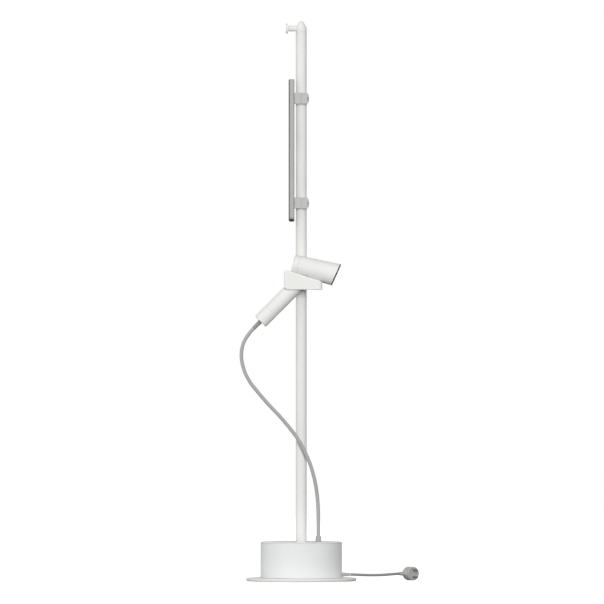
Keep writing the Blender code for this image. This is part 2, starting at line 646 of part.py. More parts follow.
def build_handset():
    top = BARREL_LEN + 0.012
    seam = 0.0150
    inner_front = barrel_radius(top) - SHELL_T
    inner_rear = barrel_radius(seam) - SHELL_T
    shell = turned("handset_barrel", [
        (barrel_radius(top), top), (barrel_radius(seam), seam), (inner_rear, seam),
        (inner_front, top)], "handset_white", BARREL_REAR, BARREL_AXIS, steps=28, ring=True)
    boolean(shell, front_slab("nose_cut", -RIM_T - GAP, 0.05))
    holes(shell, NECK_R - SHELL_T, [(on_handle(0.0), on_handle(0.06))], 18)

    cap_profile = barrel_profile(0.0, seam - GAP)
    rear_cap = turned("handset_rear_cap", cap_profile + [
        (0.0, 0.0), (0.0, SHELL_T), (inner_rear - 0.0036, SHELL_T),
        (inner_rear - 0.0009, SHELL_T + 0.0012), (inner_rear, SHELL_T + 0.0040),
        (inner_rear, seam - GAP)],
        "handset_white", BARREL_REAR, BARREL_AXIS, steps=28, ring=True)

    rim_inner = 0.0262
    rim = turned("window_ring", [
        (barrel_radius(top), top), (barrel_radius(BARREL_LEN - 0.02), BARREL_LEN - 0.02),
        (rim_inner, BARREL_LEN - 0.02), (rim_inner, top)],
        "black_plastic", BARREL_REAR, BARREL_AXIS, steps=28, ring=True)
    boolean(rim, front_slab("rim_slice", -RIM_T, 0.0), "INTERSECT")

    window = rod("scan_window", rim_inner - GAP, BARREL_REAR + BARREL_AXIS * (BARREL_LEN - 0.02),
                 BARREL_REAR + BARREL_AXIS * top, "dark_glass", 24)
    boolean(window, front_slab("window_slice", -RIM_T + 0.0004, -0.0014), "INTERSECT")

    engine_at = BARREL_REAR + BARREL_AXIS * 0.084
    engine = block("scan_engine", (0.022, 0.026, 0.022), engine_at, "black_plastic",
                   (0.0, BARREL_TILT, 0.0))
    bevel(engine, 0.0012, 1)
    boolean(engine, rod("scan_lens", 0.0075, engine_at, engine_at + BARREL_AXIS * 0.017, None, 20), "UNION")

    grip_end = HANDLE_LEN - HANDLE_CAP_LEN
    inner = HANDLE_R - SHELL_T
    neck = [(NECK_R, 0.0), (NECK_R, 0.032), (NECK_R + 0.0018, 0.040), (HANDLE_R - 0.0014, 0.051),
            (HANDLE_R, 0.058), (HANDLE_R, grip_end)]
    bore = [(radius - SHELL_T, along) for radius, along in neck]
    grip = turned("handset_handle", neck[::-1] + bore, "handset_white", HANDLE_TOP, HANDLE_AXIS,
                  steps=24, ring=True)
    boolean(grip, barrel_solid("barrel_envelope", GAP))
    length, width = TRIGGER_SIZE
    slot_size = (0.020, width + 0.0006, length + 0.0006)
    handle_turn = Matrix((HANDLE_FRONT, HANDLE_AXIS.cross(HANDLE_FRONT), HANDLE_AXIS)).transposed()
    turn = tuple(handle_turn.to_euler())
    slot = block("trigger_slot", slot_size, on_handle(TRIGGER_AT, HANDLE_R), None, turn)
    boolean(grip, slot)
    trigger = block("trigger", (0.0100, width, length), on_handle(TRIGGER_AT, 0.0170), "panel_grey",
                    turn)
    boolean(trigger, rod("trigger_face", HANDLE_R - 0.0002, on_handle(0.03), on_handle(0.12), None, 24),
            "INTERSECT")
    boolean(trigger, block("trigger_flange", (0.0014, width + 0.002, length + 0.003),
                           on_handle(TRIGGER_AT, 0.0142), None, turn), "UNION")

    end_cap = turned("handle_end_cap", [
        (0.0, HANDLE_LEN), (HANDLE_R - 0.003, HANDLE_LEN), (HANDLE_R - 0.0009, HANDLE_LEN - 0.0009),
        (HANDLE_R, HANDLE_LEN - 0.003), (HANDLE_R, grip_end + GAP), (inner, grip_end + GAP),
        (inner, HANDLE_LEN - 0.003), (0.0, HANDLE_LEN - 0.003)][::-1],
        "handset_white", HANDLE_TOP, HANDLE_AXIS, steps=24)
    holes(end_cap, 0.0055, [(on_handle(HANDLE_LEN - 0.01), on_handle(HANDLE_LEN + 0.01))])
    relief = bushing("handset_strain_relief", [(0.0055, RELIEF_LEN), (0.0062, 0.0030), (0.0062, GAP)],
                     0.0051, 0.003, on_handle(HANDLE_LEN), HANDLE_AXIS, "cord_grey")
    board = block("handset_board", (0.0016, 0.018, 0.100), on_handle(0.105, -0.008), "circuit_green",
                  turn)
    pieces = [shell, rear_cap, rim, window, engine, grip, end_cap, relief, board]
    pivot("handset_pivot", HANDLE_TOP, pieces)
    pivot("trigger_pivot", on_handle(TRIGGER_AT, HANDLE_R), [trigger])


# ---------------------------------------------------------------- cradle
def build_cradle():
    left, right, low = CRADLE_LEFT, CRADLE_RIGHT, CRADLE_BOTTOM
    side = rounded_outline([(left, low, 0.013), (right, low, 0.0025), (right, RIM_RIGHT, 0.008),
                            (left, RIM_LEFT, 0.007)], 4)
    body = slab("cradle_body", side, CRADLE_NEAR, CRADLE_FAR, "XZ", "cradle_white")
    plan = rounded_outline([(left, CRADLE_NEAR, 0.006), (right, CRADLE_NEAR, 0.009),
                            (right, CRADLE_FAR, 0.006), (left, CRADLE_FAR, 0.004)], 4)
    boolean(body, slab("cradle_plan", plan, low - 0.01, RIM_LEFT + 0.01, "XY"), "INTERSECT")
    lug = block("cradle_lug", (2 * STRAP_HALF_W, -0.0004 - CRADLE_FAR + 0.004, STRAP_HIGH - STRAP_LOW),
                (0, (CRADLE_FAR - 0.004 - 0.0004) / 2, (STRAP_LOW + STRAP_HIGH) / 2))
    boolean(body, lug, "UNION")
    pole_bore = rod("strap_bore", POLE_R + GAP, (0, 0, 0.75), (0, 0, 0.90), None, 24)
    boolean(body, pole_bore)
    boolean(body, barrel_solid("barrel_room", PAD_T + 2 * GAP))
    handle_bore = rod("handle_bore", HANDLE_BORE_R, on_handle(-0.06), on_handle(0.16), None, 24)
    boolean(body, handle_bore)
    sides = (-STRAP_SCREW_X, STRAP_SCREW_X)
    mid = (STRAP_LOW + STRAP_HIGH) / 2
    strap = block("cradle_strap", (2 * STRAP_HALF_W, STRAP_BACK - 0.0004, STRAP_HIGH - STRAP_LOW),
                  (0, (STRAP_BACK + 0.0004) / 2, mid), "cradle_white")
    bevel(strap, 0.0030, 2)
    boolean(strap, pole_bore)
    for side, x in zip("ab", sides):
        screw(f"cradle_screw_{side}", (x, STRAP_BACK + GAP, mid), ALONG_Y, 0.0036, 0.0028, 0.0020, 0.0305)
        holes(strap, 0.0024, [((x, -0.001, mid), (x, STRAP_BACK + 0.01, mid))], 10)
        holes(body, 0.0024, [((x, -0.0110, mid), (x, 0.01, mid))], 10)

    pad = turned("cradle_pad", [
        (barrel_radius(0.074) + GAP + PAD_T, 0.074), (barrel_radius(0.016) + GAP + PAD_T, 0.016),
        (barrel_radius(0.016) + GAP, 0.016), (barrel_radius(0.074) + GAP, 0.074)],
        "dark_rubber", BARREL_REAR, BARREL_AXIS, steps=28, ring=True)
    limits = block("pad_limits", (0.044, 0.026, 0.040), (0.0330, HANDSET_Y, 0.8140))
    boolean(pad, limits, "INTERSECT")
    boolean(pad, handle_bore)


# ---------------------------------------------------------------- cords and plug
def build_cords():
    cable("handset_cord", CORD_ROUTE, CORD_D, "cord_grey")
    cable("mains_lead", LEAD_ROUTE, LEAD_D, "cord_grey")
    half = PLUG_OUT * (PLUG_DEPTH / 2)
    body = rod("plug_body", PLUG_R, PLUG_CENTRE - half, PLUG_CENTRE + half, "cord_grey", 22)
    bevel(body, 0.0020, 2, 60.0)
    neck_at = PLUG_CENTRE + PLUG_LEAD * 0.006
    neck_end = PLUG_R + PLUG_NECK - 0.006
    neck = turned("plug_neck", [(0.0, neck_end), (0.0046, neck_end), (0.0064, 0.020), (0.0066, 0.0),
                                (0.0, 0.0)], None, neck_at, PLUG_LEAD, steps=16)
    boolean(body, neck, "UNION")
    for side, name in ((-1, "plug_pin_low"), (1, "plug_pin_high")):
        root = PLUG_CENTRE + half + ALONG_Z * (side * PIN_PITCH / 2)
        holes(body, PIN_R + GAP, [(root - PLUG_OUT * 0.005, root + PLUG_OUT * 0.01)], 14)
        turned(name, [(0.0, PIN_LEN), (PIN_R * 0.5, PIN_LEN), (PIN_R, PIN_LEN - 0.0016),
                      (PIN_R, -0.0047), (0.0, -0.0047)], "bright_steel", root, PLUG_OUT, steps=14)


build_base()
build_pole()
build_display()
build_cradle()
build_handset()
build_cords()
bpy.context.view_layer.update()
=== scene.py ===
"""Looks of the customer pole display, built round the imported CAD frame. Metres, +Z up.

From the front, which is -Y, the display is edge-on at the left of the pole (-X), the handset hangs
in front of the pole, and both cords end at the drum.
"""

import math

import bmesh
import bpy
from mathutils import Matrix, Vector


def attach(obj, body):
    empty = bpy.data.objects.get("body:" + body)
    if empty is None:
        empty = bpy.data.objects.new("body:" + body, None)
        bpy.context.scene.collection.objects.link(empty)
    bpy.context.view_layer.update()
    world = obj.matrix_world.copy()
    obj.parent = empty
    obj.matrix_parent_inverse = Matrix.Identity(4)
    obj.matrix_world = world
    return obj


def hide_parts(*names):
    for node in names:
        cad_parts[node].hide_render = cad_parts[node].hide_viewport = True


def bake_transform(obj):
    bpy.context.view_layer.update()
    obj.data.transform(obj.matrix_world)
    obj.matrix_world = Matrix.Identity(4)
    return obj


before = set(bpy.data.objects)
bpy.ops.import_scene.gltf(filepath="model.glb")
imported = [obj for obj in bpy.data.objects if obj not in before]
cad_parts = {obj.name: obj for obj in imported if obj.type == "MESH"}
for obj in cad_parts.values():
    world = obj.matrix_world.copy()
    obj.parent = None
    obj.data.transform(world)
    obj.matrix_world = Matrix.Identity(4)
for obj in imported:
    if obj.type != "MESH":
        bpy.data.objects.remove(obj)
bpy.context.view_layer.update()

ALONG_X = Vector((1.0, 0.0, 0.0))
ALONG_Y = Vector((0.0, 1.0, 0.0))
ALONG_Z = Vector((0.0, 0.0, 1.0))
GAP = 0.0003                       # clearance between neighbouring pieces
TIP = 1e-7                         # a turned radius below this is a single point


def new_object(name, data):
    obj = bpy.data.objects.new(name, data)
    bpy.context.scene.collection.objects.link(obj)
    return obj


# ---- camera
IMAGE_WIDTH = 1.6459               # width of the view at the object, in metres
CAMERA_AT = Vector((0.002, -30.0, 0.760))


def make_camera():
    data = bpy.data.cameras.new("camera")
    data.sensor_width = 36.0
    data.lens = data.sensor_width * -CAMERA_AT.y / IMAGE_WIDTH
    data.clip_end = 100.0
    camera = new_object("camera", data)
    camera.location = CAMERA_AT
    camera.rotation_euler = (math.pi / 2, 0.0, 0.0)
    bpy.context.scene.camera = camera


make_camera()


# ---- materials
class Surface:
    """One procedural material: a Principled shader with detail from noise in object space."""

    def __init__(self, name, colour, roughness, metallic=0.0):
        self.name = name
        self.material = bpy.data.materials.new(name)
        self.material.use_nodes = True
        self.tree = self.material.node_tree
        self.shader = self.tree.nodes["Principled BSDF"]
        self.colour = colour
        self.roughness = roughness
        self.shader.inputs["Roughness"].default_value = roughness
        self.shader.inputs["Metallic"].default_value = metallic
        self.material.diffuse_color = (*colour, 1.0)
        self.place = self.node("ShaderNodeTexCoord").outputs["Object"]

    def node(self, kind, **values):
        node = self.tree.nodes.new(kind)
        for key, value in values.items():
            setattr(node, key, value)
        return node

    def join(self, source, target):
        self.tree.links.new(source, target)
        return self

    def stretched(self, scale):
        mapping = self.node("ShaderNodeMapping")
        mapping.inputs["Scale"].default_value = scale
        self.join(self.place, mapping.inputs["Vector"])
        return mapping.outputs["Vector"]

    def noise(self, scale, detail=3.0, place=None):
        noise = self.node("ShaderNodeTexNoise")
        noise.inputs["Scale"].default_value = scale
        noise.inputs["Detail"].default_value = detail
        self.join(place or self.place, noise.inputs["Vector"])
        return noise.outputs["Fac"]

    def ranged(self, value, low, high, start=0.3, end=0.7):
        """The value, mapped from start..end to low..high."""
        mapped = self.node("ShaderNodeMapRange")
        for key, number in (("From Min", start), ("From Max", end), ("To Min", low), ("To Max", high)):
            mapped.inputs[key].default_value = number
        self.join(value, mapped.inputs["Value"])
        return mapped.outputs["Result"]

    def mixed(self, share, other):
        """Colour that turns to the other one where share is 1."""
        mix = self.node("ShaderNodeMix", data_type="RGBA")
        mix.inputs["A"].default_value = (*self.colour, 1.0)
        mix.inputs["B"].default_value = (*other, 1.0)
        self.join(share, mix.inputs["Factor"])
        return self.join(mix.outputs["Result"], self.shader.inputs["Base Color"])

    def mottled(self, scale, amount, tint=(1.0, 1.0, 1.0)):
        """Colour that drifts a little, by amount, towards a darker tone of the given tint."""
        dark = [channel * (1.0 - amount) * t for channel, t in zip(self.colour, tint)]
        return self.mixed(self.ranged(self.noise(scale, 4.0), 0.0, 1.0), dark)

    def uneven_gloss(self, value, less, more):
        """Roughness that goes with value from less below to more above its own level."""
        spread = self.ranged(value, self.roughness - less, self.roughness + more)
        return self.join(spread, self.shader.inputs["Roughness"])

    def bumpy(self, height, distance, strength=1.0):
        bump = self.node("ShaderNodeBump")
        bump.inputs["Strength"].default_value = strength
        bump.inputs["Distance"].default_value = distance
        self.join(height, bump.inputs["Height"])
        return self.join(bump.outputs["Normal"], self.shader.inputs["Normal"])

    def grain(self, coarse, fine, distance, strength=1.0):
        """Moulded or sprayed skin: a soft wave under a fine grain."""
        total = self.node("ShaderNodeMath", operation="MULTIPLY_ADD")
        total.inputs[1].default_value = 0.6
        self.join(self.noise(coarse, 2.0), total.inputs[0])
        self.join(self.noise(fine, 2.0), total.inputs[2])
        return self.bumpy(total.outputs["Value"], distance, strength)

    def set(self, **values):
        for key, value in values.items():
            self.shader.inputs[key.replace("_", " ")].default_value = value
        return self


def powder_coat(name, colour, roughness, grain=0.00005):
    """Sprayed steel: faint orange peel, a thin clear skin and slow drift in gloss."""
    coat = Surface(name, colour, roughness)
    coat.mottled(9.0, 0.035, (1.0, 0.995, 0.98))
    coat.uneven_gloss(coat.noise(26.0, 5.0), 0.05, 0.07)
    coat.grain(420.0, 1700.0, grain, 0.5)
    return coat.set(Coat_Weight=0.15, Coat_Roughness=0.3)


def moulded(name, colour, roughness, grain=0.00004, drift=0.03):
    """Moulded plastic with a fine spark-eroded grain."""
    plastic = Surface(name, colour, roughness)
    plastic.mottled(22.0, drift, (1.0, 1.0, 0.985))
    plastic.uneven_gloss(plastic.noise(60.0, 5.0), 0.05, 0.06)
    plastic.grain(900.0, 3200.0, grain, 0.6)
    return plastic.set(IOR=1.46)


def rubber(name, colour, roughness):
    """Soft matt rubber with dusty patches."""
    skin = Surface(name, colour, roughness)
    skin.mottled(40.0, 0.14)
    skin.uneven_gloss(skin.noise(90.0, 5.0), 0.1, 0.05)
    return skin.grain(600.0, 2600.0, 0.00007, 0.8)


def brushed(name, colour, roughness, scale=(1.0, 1.0, 24.0)):
    """Turned or brushed metal: fine lines across the stretched direction."""
    metal = Surface(name, colour, roughness, 1.0)
    metal.mottled(120.0, 0.1)
    lines = metal.noise(700.0, 3.0, metal.stretched(scale))
    return metal.uneven_gloss(lines, 0.08, 0.12).bumpy(lines, 0.00002, 0.5)


def glass(name, colour, roughness):
    """Dark glass with a faint wave and a clear skin."""
    pane = Surface(name, colour, roughness)
    pane.mottled(5.0, 0.15)
    pane.uneven_gloss(pane.noise(14.0, 5.0), 0.0, 0.05)
    pane.grain(30.0, 1400.0, 0.00001, 0.15)
    return pane.set(IOR=1.52, Coat_Weight=0.5, Coat_Roughness=0.03)


def circuit(name):
    """Circuit board: green solder mask with copper runs that show through."""
    board = Surface(name, (0.02, 0.13, 0.06), 0.45)
    cells = board.node("ShaderNodeTexVoronoi", distance="MANHATTAN", feature="DISTANCE_TO_EDGE")
    cells.inputs["Scale"].default_value = 260.0
    board.join(board.place, cells.inputs["Vector"])
    runs = board.ranged(cells.outputs["Distance"], 1.0, 0.0, 0.05, 0.12)
    return board.mixed(runs, (0.06, 0.24, 0.09)).bumpy(runs, 0.00004)


SURFACES = {surface.name: surface for surface in (
    powder_coat("stand_white", (0.785, 0.785, 0.775), 0.46),
    powder_coat("drum_white", (0.78, 0.795, 0.80), 0.42),
    moulded("handset_white", (0.79, 0.79, 0.785), 0.38),
    powder_coat("back_grey", (0.82, 0.82, 0.81), 0.5),
    moulded("cradle_white", (0.80, 0.80, 0.785), 0.5, 0.00006),
    # lid top: a glossier finish; its slightly darker tone is painted shade on the upward faces
    powder_coat("lid_top_painted_shade", (0.73, 0.74, 0.745), 0.27, 0.000015),
    moulded("clamp_grey", (0.54, 0.54, 0.53), 0.48, 0.00007),
    moulded("panel_grey", (0.42, 0.42, 0.41), 0.42, 0.00005),
    moulded("edge_grey", (0.165, 0.165, 0.16), 0.42, 0.00005),
    glass("dark_glass", (0.012, 0.013, 0.015), 0.05),
    glass("screen_glass", (0.022, 0.026, 0.034), 0.07),
    moulded("black_plastic", (0.025, 0.025, 0.026), 0.45, 0.00006, 0.2),
    moulded("cord_grey", (0.42, 0.42, 0.415), 0.52, 0.00005, 0.06),
    moulded("lead_grey", (0.28, 0.28, 0.275), 0.52, 0.00005, 0.06),
    moulded("relief_grey", (0.33, 0.33, 0.325), 0.45, 0.00005, 0.06),
    rubber("dark_rubber", (0.045, 0.045, 0.045), 0.75),
    # pale foot ring: its near-white colour is painted light, standing in for floor bounce under the plate
    rubber("foot_rubber", (0.85, 0.85, 0.84), 0.75),
    brushed("bright_steel", (0.42, 0.42, 0.42), 0.34),
    brushed("cast_ballast", (0.16, 0.16, 0.165), 0.55, (1.0, 1.0, 1.0)),
    circuit("circuit_green"),
)}


def finish_cad_nodes():
    """CAD nodes that still show get the procedural material of their own slot."""
    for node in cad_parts.values():
        for slot in node.material_slots:
            base = slot.material.name.split(".")[0] if slot.material else ""
            if base in SURFACES:
                slot.material = SURFACES[base].material


# ---- shape functions
def place_frame(place, axis, up=None):
    """Matrix that turns local Z to axis and, when up is given, local X towards up."""
    axis = Vector(axis).normalized()
    if up is None:
        turn = ALONG_Z.rotation_difference(axis).to_matrix()
    else:
        side = (Vector(up) - axis * axis.dot(Vector(up))).normalized()
        turn = Matrix((side, axis.cross(side), axis)).transposed()
    return Matrix.Translation(place) @ turn.to_4x4()


def rounded(points, closed=False, steps=5):
    """Outline from (x, y) or (x, y, corner radius) points, each corner rounded by an arc."""
    outline = []
    count = len(points)
    for i, point in enumerate(points):
        here = Vector(point[:2])
        radius = point[2] if len(point) > 2 else 0.0
        if radius <= 0.0 or (not closed and i in (0, count - 1)):
            outline.append(here)
            continue
        before = (Vector(points[i - 1][:2]) - here).normalized()
        after = (Vector(points[(i + 1) % count][:2]) - here).normalized()
        half = before.angle(after) / 2
        centre = here + (before + after).normalized() * (radius / math.sin(half))
        first = here + before * (radius / math.tan(half)) - centre
        last = here + after * (radius / math.tan(half)) - centre
        sweep = math.copysign(math.pi - 2 * half, first.cross(last))
        for k in range(steps + 1):
            outline.append(centre + Matrix.Rotation(sweep * k / steps, 2) @ first)
    return outline


def unit_circle(segments):
    """(cosine, sine) of evenly spaced angles over a full turn."""
    return [(math.cos(a), math.sin(a)) for a in (2 * math.pi * k / segments for k in range(segments))]


def arc_steps(count):
    """Angles from 0 to a quarter turn."""
    return [math.radians(90.0 * k / count) for k in range(count + 1)]


def bore_arc(radius, start, end, steps=28):
    """Points on a circle round the pole, from one angle in degrees to another."""
    angles = (math.radians(start + (end - start) * k / steps) for k in range(steps + 1))
    return [(radius * math.cos(a), radius * math.sin(a)) for a in angles]


def finish_mesh(bm, name, sharp=32.0):
    """Smooth mesh with sharp edges past the given angle."""
    bmesh.ops.recalc_face_normals(bm, faces=bm.faces)
    mesh = bpy.data.meshes.new(name)
    bm.to_mesh(mesh)
    bm.free()
    mesh.shade_smooth()
    mesh.set_sharp_from_angle(angle=math.radians(sharp))
    return mesh


def rings_mesh(name, rings, closed=False, matrix=None, sharp=32.0):
    """Skin over rings of points; a ring of one point is a tip, and closed joins last to first."""
    bm = bmesh.new()
    rows = [[bm.verts.new(point) for point in ring] for ring in rings]
    pairs = list(zip(rows, rows[1:]))
    if closed:
        pairs.append((rows[-1], rows[0]))
    for low, high in pairs:
        count = max(len(low), len(high))
        for k in range(count):
            n = (k + 1) % count
            if len(low) == 1:
                bm.faces.new((low[0], high[k], high[n]))
            elif len(high) == 1:
                bm.faces.new((low[k], low[n], high[0]))
            else:
                bm.faces.new((low[k], low[n], high[n], high[k]))
    if not closed:
        for ring in (rows[0], rows[-1]):
            if len(ring) > 2:
                bm.faces.new(ring)
    if matrix is not None:
        bm.transform(matrix)
    return finish_mesh(bm, name, sharp)


def turned_mesh(name, profile, matrix, segments=96, closed=False):
    """(radius, height) points turned about local Z; a third value slants a point's ring."""
    rings = []
    for radius, height, *slant in profile:
        rise = radius * slant[0] if slant else 0.0
        circle = unit_circle(segments) if radius > TIP else [(0.0, 0.0)]
        rings.append([(radius * c, radius * s, height + rise * c) for c, s in circle])
    return rings_mesh(name, rings, closed, matrix)


def piece(name, mesh, slot, body, node=None):
    """Object name_skin with a surface, on a CAD body.

    It stands for the CAD node of its name, or for the given one, or for none where that is empty."""
    mesh.name = f"{name}_skin"
    obj = new_object(f"{name}_skin", mesh)
    mesh.materials.append(SURFACES[slot].material)
    if node != "":
        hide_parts(node or name)
    if body:
        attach(obj, body)
    return obj


def second_surface(mesh, name, picks):
    """Give another surface to the faces that the test picks."""
    mesh.materials.append(SURFACES[name].material)
    for face in mesh.polygons:
        if picks(face):
            face.material_index = 1


def even_normals(obj):
    """Weighted normals, so that flat faces stay flat beside rounded edges."""
    mod = obj.modifiers.new("normals", "WEIGHTED_NORMAL")
    mod.keep_sharp = True
    return obj


def turned(name, points, slot, body, place=(0.0, 0.0, 0.0), axis=ALONG_Z, segments=96,
           closed=False, steps=5, node=None):
    """Turned piece from rounded points; their heights run from place along axis."""
    profile = rounded(points, closed, steps)
    mesh = turned_mesh(name, profile, place_frame(place, axis), segments, closed)
    return even_normals(piece(name, mesh, slot, body, node))


def prism_bm(outline, low, high, plane, bm=None):
    """Flat outline in the XY or YZ plane, extruded from low to high across it."""
    if bm is None:
        bm = bmesh.new()
    rows = [[bm.verts.new((a, b, level) if plane == "XY" else (level, a, b)) for a, b in outline]
            for level in (low, high)]
    count = len(outline)
    for k in range(count):
        n = (k + 1) % count
        bm.faces.new((rows[0][k], rows[0][n], rows[1][n], rows[1][k]))
    bm.faces.new(rows[0])
    bm.faces.new(rows[1])
    bmesh.ops.recalc_face_normals(bm, faces=bm.faces)
    return bm


def prism(name, outline, low, high, plane, slot, body, edge, segments=3, node=None):
    """Extruded piece whose edges are rounded by a bevel."""
    mesh = finish_mesh(prism_bm(outline, low, high, plane), name, 50.0)
    return even_normals(soften(piece(name, mesh, slot, body, node), edge, segments))


def soften(obj, edge, segments=3, angle=50.0):
    """Round the edges that are sharper than the angle."""
    mod = obj.modifiers.new("edges", "BEVEL")
    mod.width = edge
    mod.segments = segments
    mod.limit_method = "ANGLE"
    mod.angle_limit = math.radians(angle)
    mod.harden_normals = False
    return obj


def boolean(obj, other, operation="DIFFERENCE"):
    mod = obj.modifiers.new(operation.lower(), "BOOLEAN")
    mod.object = other
    mod.operation = operation
    mod.solver = "EXACT"
    return obj


def baked(obj, *helpers, sharp):
    """Mesh with the modifiers applied; the object and its helpers are removed."""
    bpy.context.view_layer.update()
    graph = bpy.context.evaluated_depsgraph_get()
    mesh = bpy.data.meshes.new_from_object(obj.evaluated_get(graph))
    for each in (obj, *helpers):
        bpy.data.objects.remove(each, do_unlink=True)
    mesh.materials.clear()
    mesh.shade_smooth()
    mesh.set_sharp_from_angle(angle=math.radians(sharp))
    return mesh


def ribbed(count, start, pitch, radius, narrowing, width, depth, corner=0.0004, drop=0.00005):
    """Profile of the ribs round a bend protector, each narrower than the one before."""
    points = []
    for k in range(count):
        height = start + pitch * k
        top = radius - narrowing * k
        points += [(top, height, corner), (top - drop, height + width, corner),
                   (top - depth, height + width + 0.0002, 0.0003),
                   (top - depth, height + width + 0.0010, 0.0003)]
    return points


def rod_mesh(name, radius, start, end, segments=64):
    """Plain round rod between two points."""
    start, end = Vector(start), Vector(end)
    length = (end - start).length
    return turned_mesh(name, [(0.0, 0.0), (radius, 0.0), (radius, length), (0.0, length)],
                       place_frame(start, end - start), segments)


def smooth_route(route, spacing):
    """Points about spacing apart on a smooth curve through the route (centripetal spline)."""
    knots = [Vector(point) for point in route]
    knots = [2 * knots[0] - knots[1]] + knots + [2 * knots[-1] - knots[-2]]
    points = []
    for i in range(1, len(knots) - 2):
        p0, p1, p2, p3 = knots[i - 1:i + 3]
        t1 = math.sqrt((p1 - p0).length)
        t2 = t1 + math.sqrt((p2 - p1).length)
        t3 = t2 + math.sqrt((p3 - p2).length)
        count = max(1, round((p2 - p1).length / spacing))
        for k in range(count):
            t = t1 + (t2 - t1) * k / count
            a1, a2 = p0.lerp(p1, t / t1), p1.lerp(p2, (t - t1) / (t2 - t1))
            a3 = p2.lerp(p3, (t - t2) / (t3 - t2))
            b1, b2 = a1.lerp(a2, t / t2), a2.lerp(a3, (t - t1) / (t3 - t1))
            points.append(b1.lerp(b2, (t - t1) / (t2 - t1)))
    points.append(knots[-2])
    return points


def tube_mesh(name, points, radius, segments=24):
    """Round tube along points, turned as little as possible from ring to ring."""
    rings = []
    side = None
    for i, point in enumerate(points):
        ahead = points[min(i + 1, len(points) - 1)]
        behind = points[max(i - 1, 0)]
        along = (ahead - behind).normalized()
        if side is None:
            side = along.orthogonal().normalized()
        side = (side - along * side.dot(along)).normalized()
        across = along.cross(side)
        rings.append([point + (side * c + across * s) * radius for c, s in unit_circle(segments)])
    return rings_mesh(name, rings)


# ---- cords
CORD_D = 0.0098
LEAD_D = 0.0072
CORD_ROUTE = [
    (0.0465, 0.0, 0.1229), (0.0465, 0.0, 0.1410), (0.0465, -0.0012, 0.1650),
    (0.0460, -0.0040, 0.1954), (0.0440, -0.0080, 0.2260), (0.0398, -0.0130, 0.2580),
    (0.0324, -0.0190, 0.2916), (0.0232, -0.0240, 0.3210), (0.0105, -0.0280, 0.3505),
    (-0.0040, -0.0315, 0.3790), (-0.0205, -0.0340, 0.4030), (-0.0380, -0.0365, 0.4250),
    (-0.0595, -0.0388, 0.4502), (-0.0825, -0.0406, 0.4742), (-0.1045, -0.0424, 0.4986),
    (-0.1225, -0.0438, 0.5205), (-0.1387, -0.0450, 0.5412), (-0.1530, -0.0458, 0.5680),
    (-0.1605, -0.0465, 0.5930), (-0.1630, -0.0470, 0.6120), (-0.1617, -0.0470, 0.6310),
    (-0.1570, -0.0470, 0.6490), (-0.1490, -0.0470, 0.6640), (-0.1405, -0.0470, 0.6760),
    (-0.1314, -0.0470, 0.6867),
]
LEAD_ROUTE = [
    (0.1336, 0.0, 0.0174), (0.1450, 0.0, 0.0171), (0.1600, 0.0001, 0.0166), (0.1760, 0.0006, 0.0161),
    (0.1920, 0.0020, 0.0158), (0.2080, 0.0046, 0.0159), (0.2230, 0.0084, 0.0164),
    (0.2370, 0.0133, 0.0172), (0.2500, 0.0194, 0.0182), (0.2600, 0.0255, 0.0188),
    (0.26755, 0.03068, 0.0190),
]
CORD_PATH = smooth_route(CORD_ROUTE, 0.004)
LEAD_PATH = smooth_route(LEAD_ROUTE, 0.003)

handset_cord = piece("handset_cord", tube_mesh("handset_cord", CORD_PATH, CORD_D / 2),
                     "cord_grey", None)
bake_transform(handset_cord)
mains_lead = piece("mains_lead", tube_mesh("mains_lead", LEAD_PATH, LEAD_D / 2), "lead_grey", "stand")


# ---- base
PLATE_R = 0.150
PLATE_LOW = 0.0015
PLATE_TOP = 0.0083
BOLT_HOLE_R = 0.0056
BOLT_HEAD_R = 0.0088
BOLT_HEAD_TOP = 0.0057
FOOT_IN = 0.120
FOOT_OUT = 0.1485
FOOT_H = 0.0012
FOOT_GROOVE_R = 0.1345
FOOT_GROOVE_H = 0.0004
DRUM_R = 0.111
DRUM_WALL = 0.0025
DRUM_TOP = 0.107
LID_LOW = 0.1038
SKIRT_H = 0.0060
SKIRT_T = 0.0020
FERRULE_X = 0.0465
LEAD_Z = 0.0174
POLE_R = 0.0148


def build_plate():
    """Base plate with a stepped hole for the centre bolt."""
    turned("base_plate", [
        (BOLT_HOLE_R, PLATE_TOP), (PLATE_R, PLATE_TOP, 0.0022), (PLATE_R, PLATE_LOW, 0.0008),
        (BOLT_HEAD_R, PLATE_LOW), (BOLT_HEAD_R, BOLT_HEAD_TOP), (BOLT_HOLE_R, BOLT_HEAD_TOP)],
        "stand_white", "stand", segments=192, closed=True)


def build_foot_ring():
    """Flat rubber ring with a shallow groove in its sole; its pale colour is painted light, standing in
    for light bounced up from the floor onto the plate's underside.
    """
    turned("foot_ring", [
        (FOOT_IN, FOOT_H, 0.0003), (FOOT_OUT, FOOT_H, 0.0003), (FOOT_OUT, 0.0, 0.0004),
        (FOOT_GROOVE_R + 0.0015, 0.0, 0.0002), (FOOT_GROOVE_R + 0.0010, FOOT_GROOVE_H, 0.0002),
        (FOOT_GROOVE_R - 0.0010, FOOT_GROOVE_H, 0.0002), (FOOT_GROOVE_R - 0.0015, 0.0, 0.0002),
        (FOOT_IN, 0.0, 0.0004)],
        "foot_rubber", "stand", segments=128, closed=True, steps=3)


def build_drum():
    inner = DRUM_R - DRUM_WALL
    low = PLATE_TOP + GAP
    high = LID_LOW - GAP
    turned("drum_shell", [
        (DRUM_R, high, 0.0005), (DRUM_R, low, 0.0009), (inner, low, 0.0004), (inner, high, 0.0004)],
        "drum_white", "stand", segments=192, closed=True, steps=3)


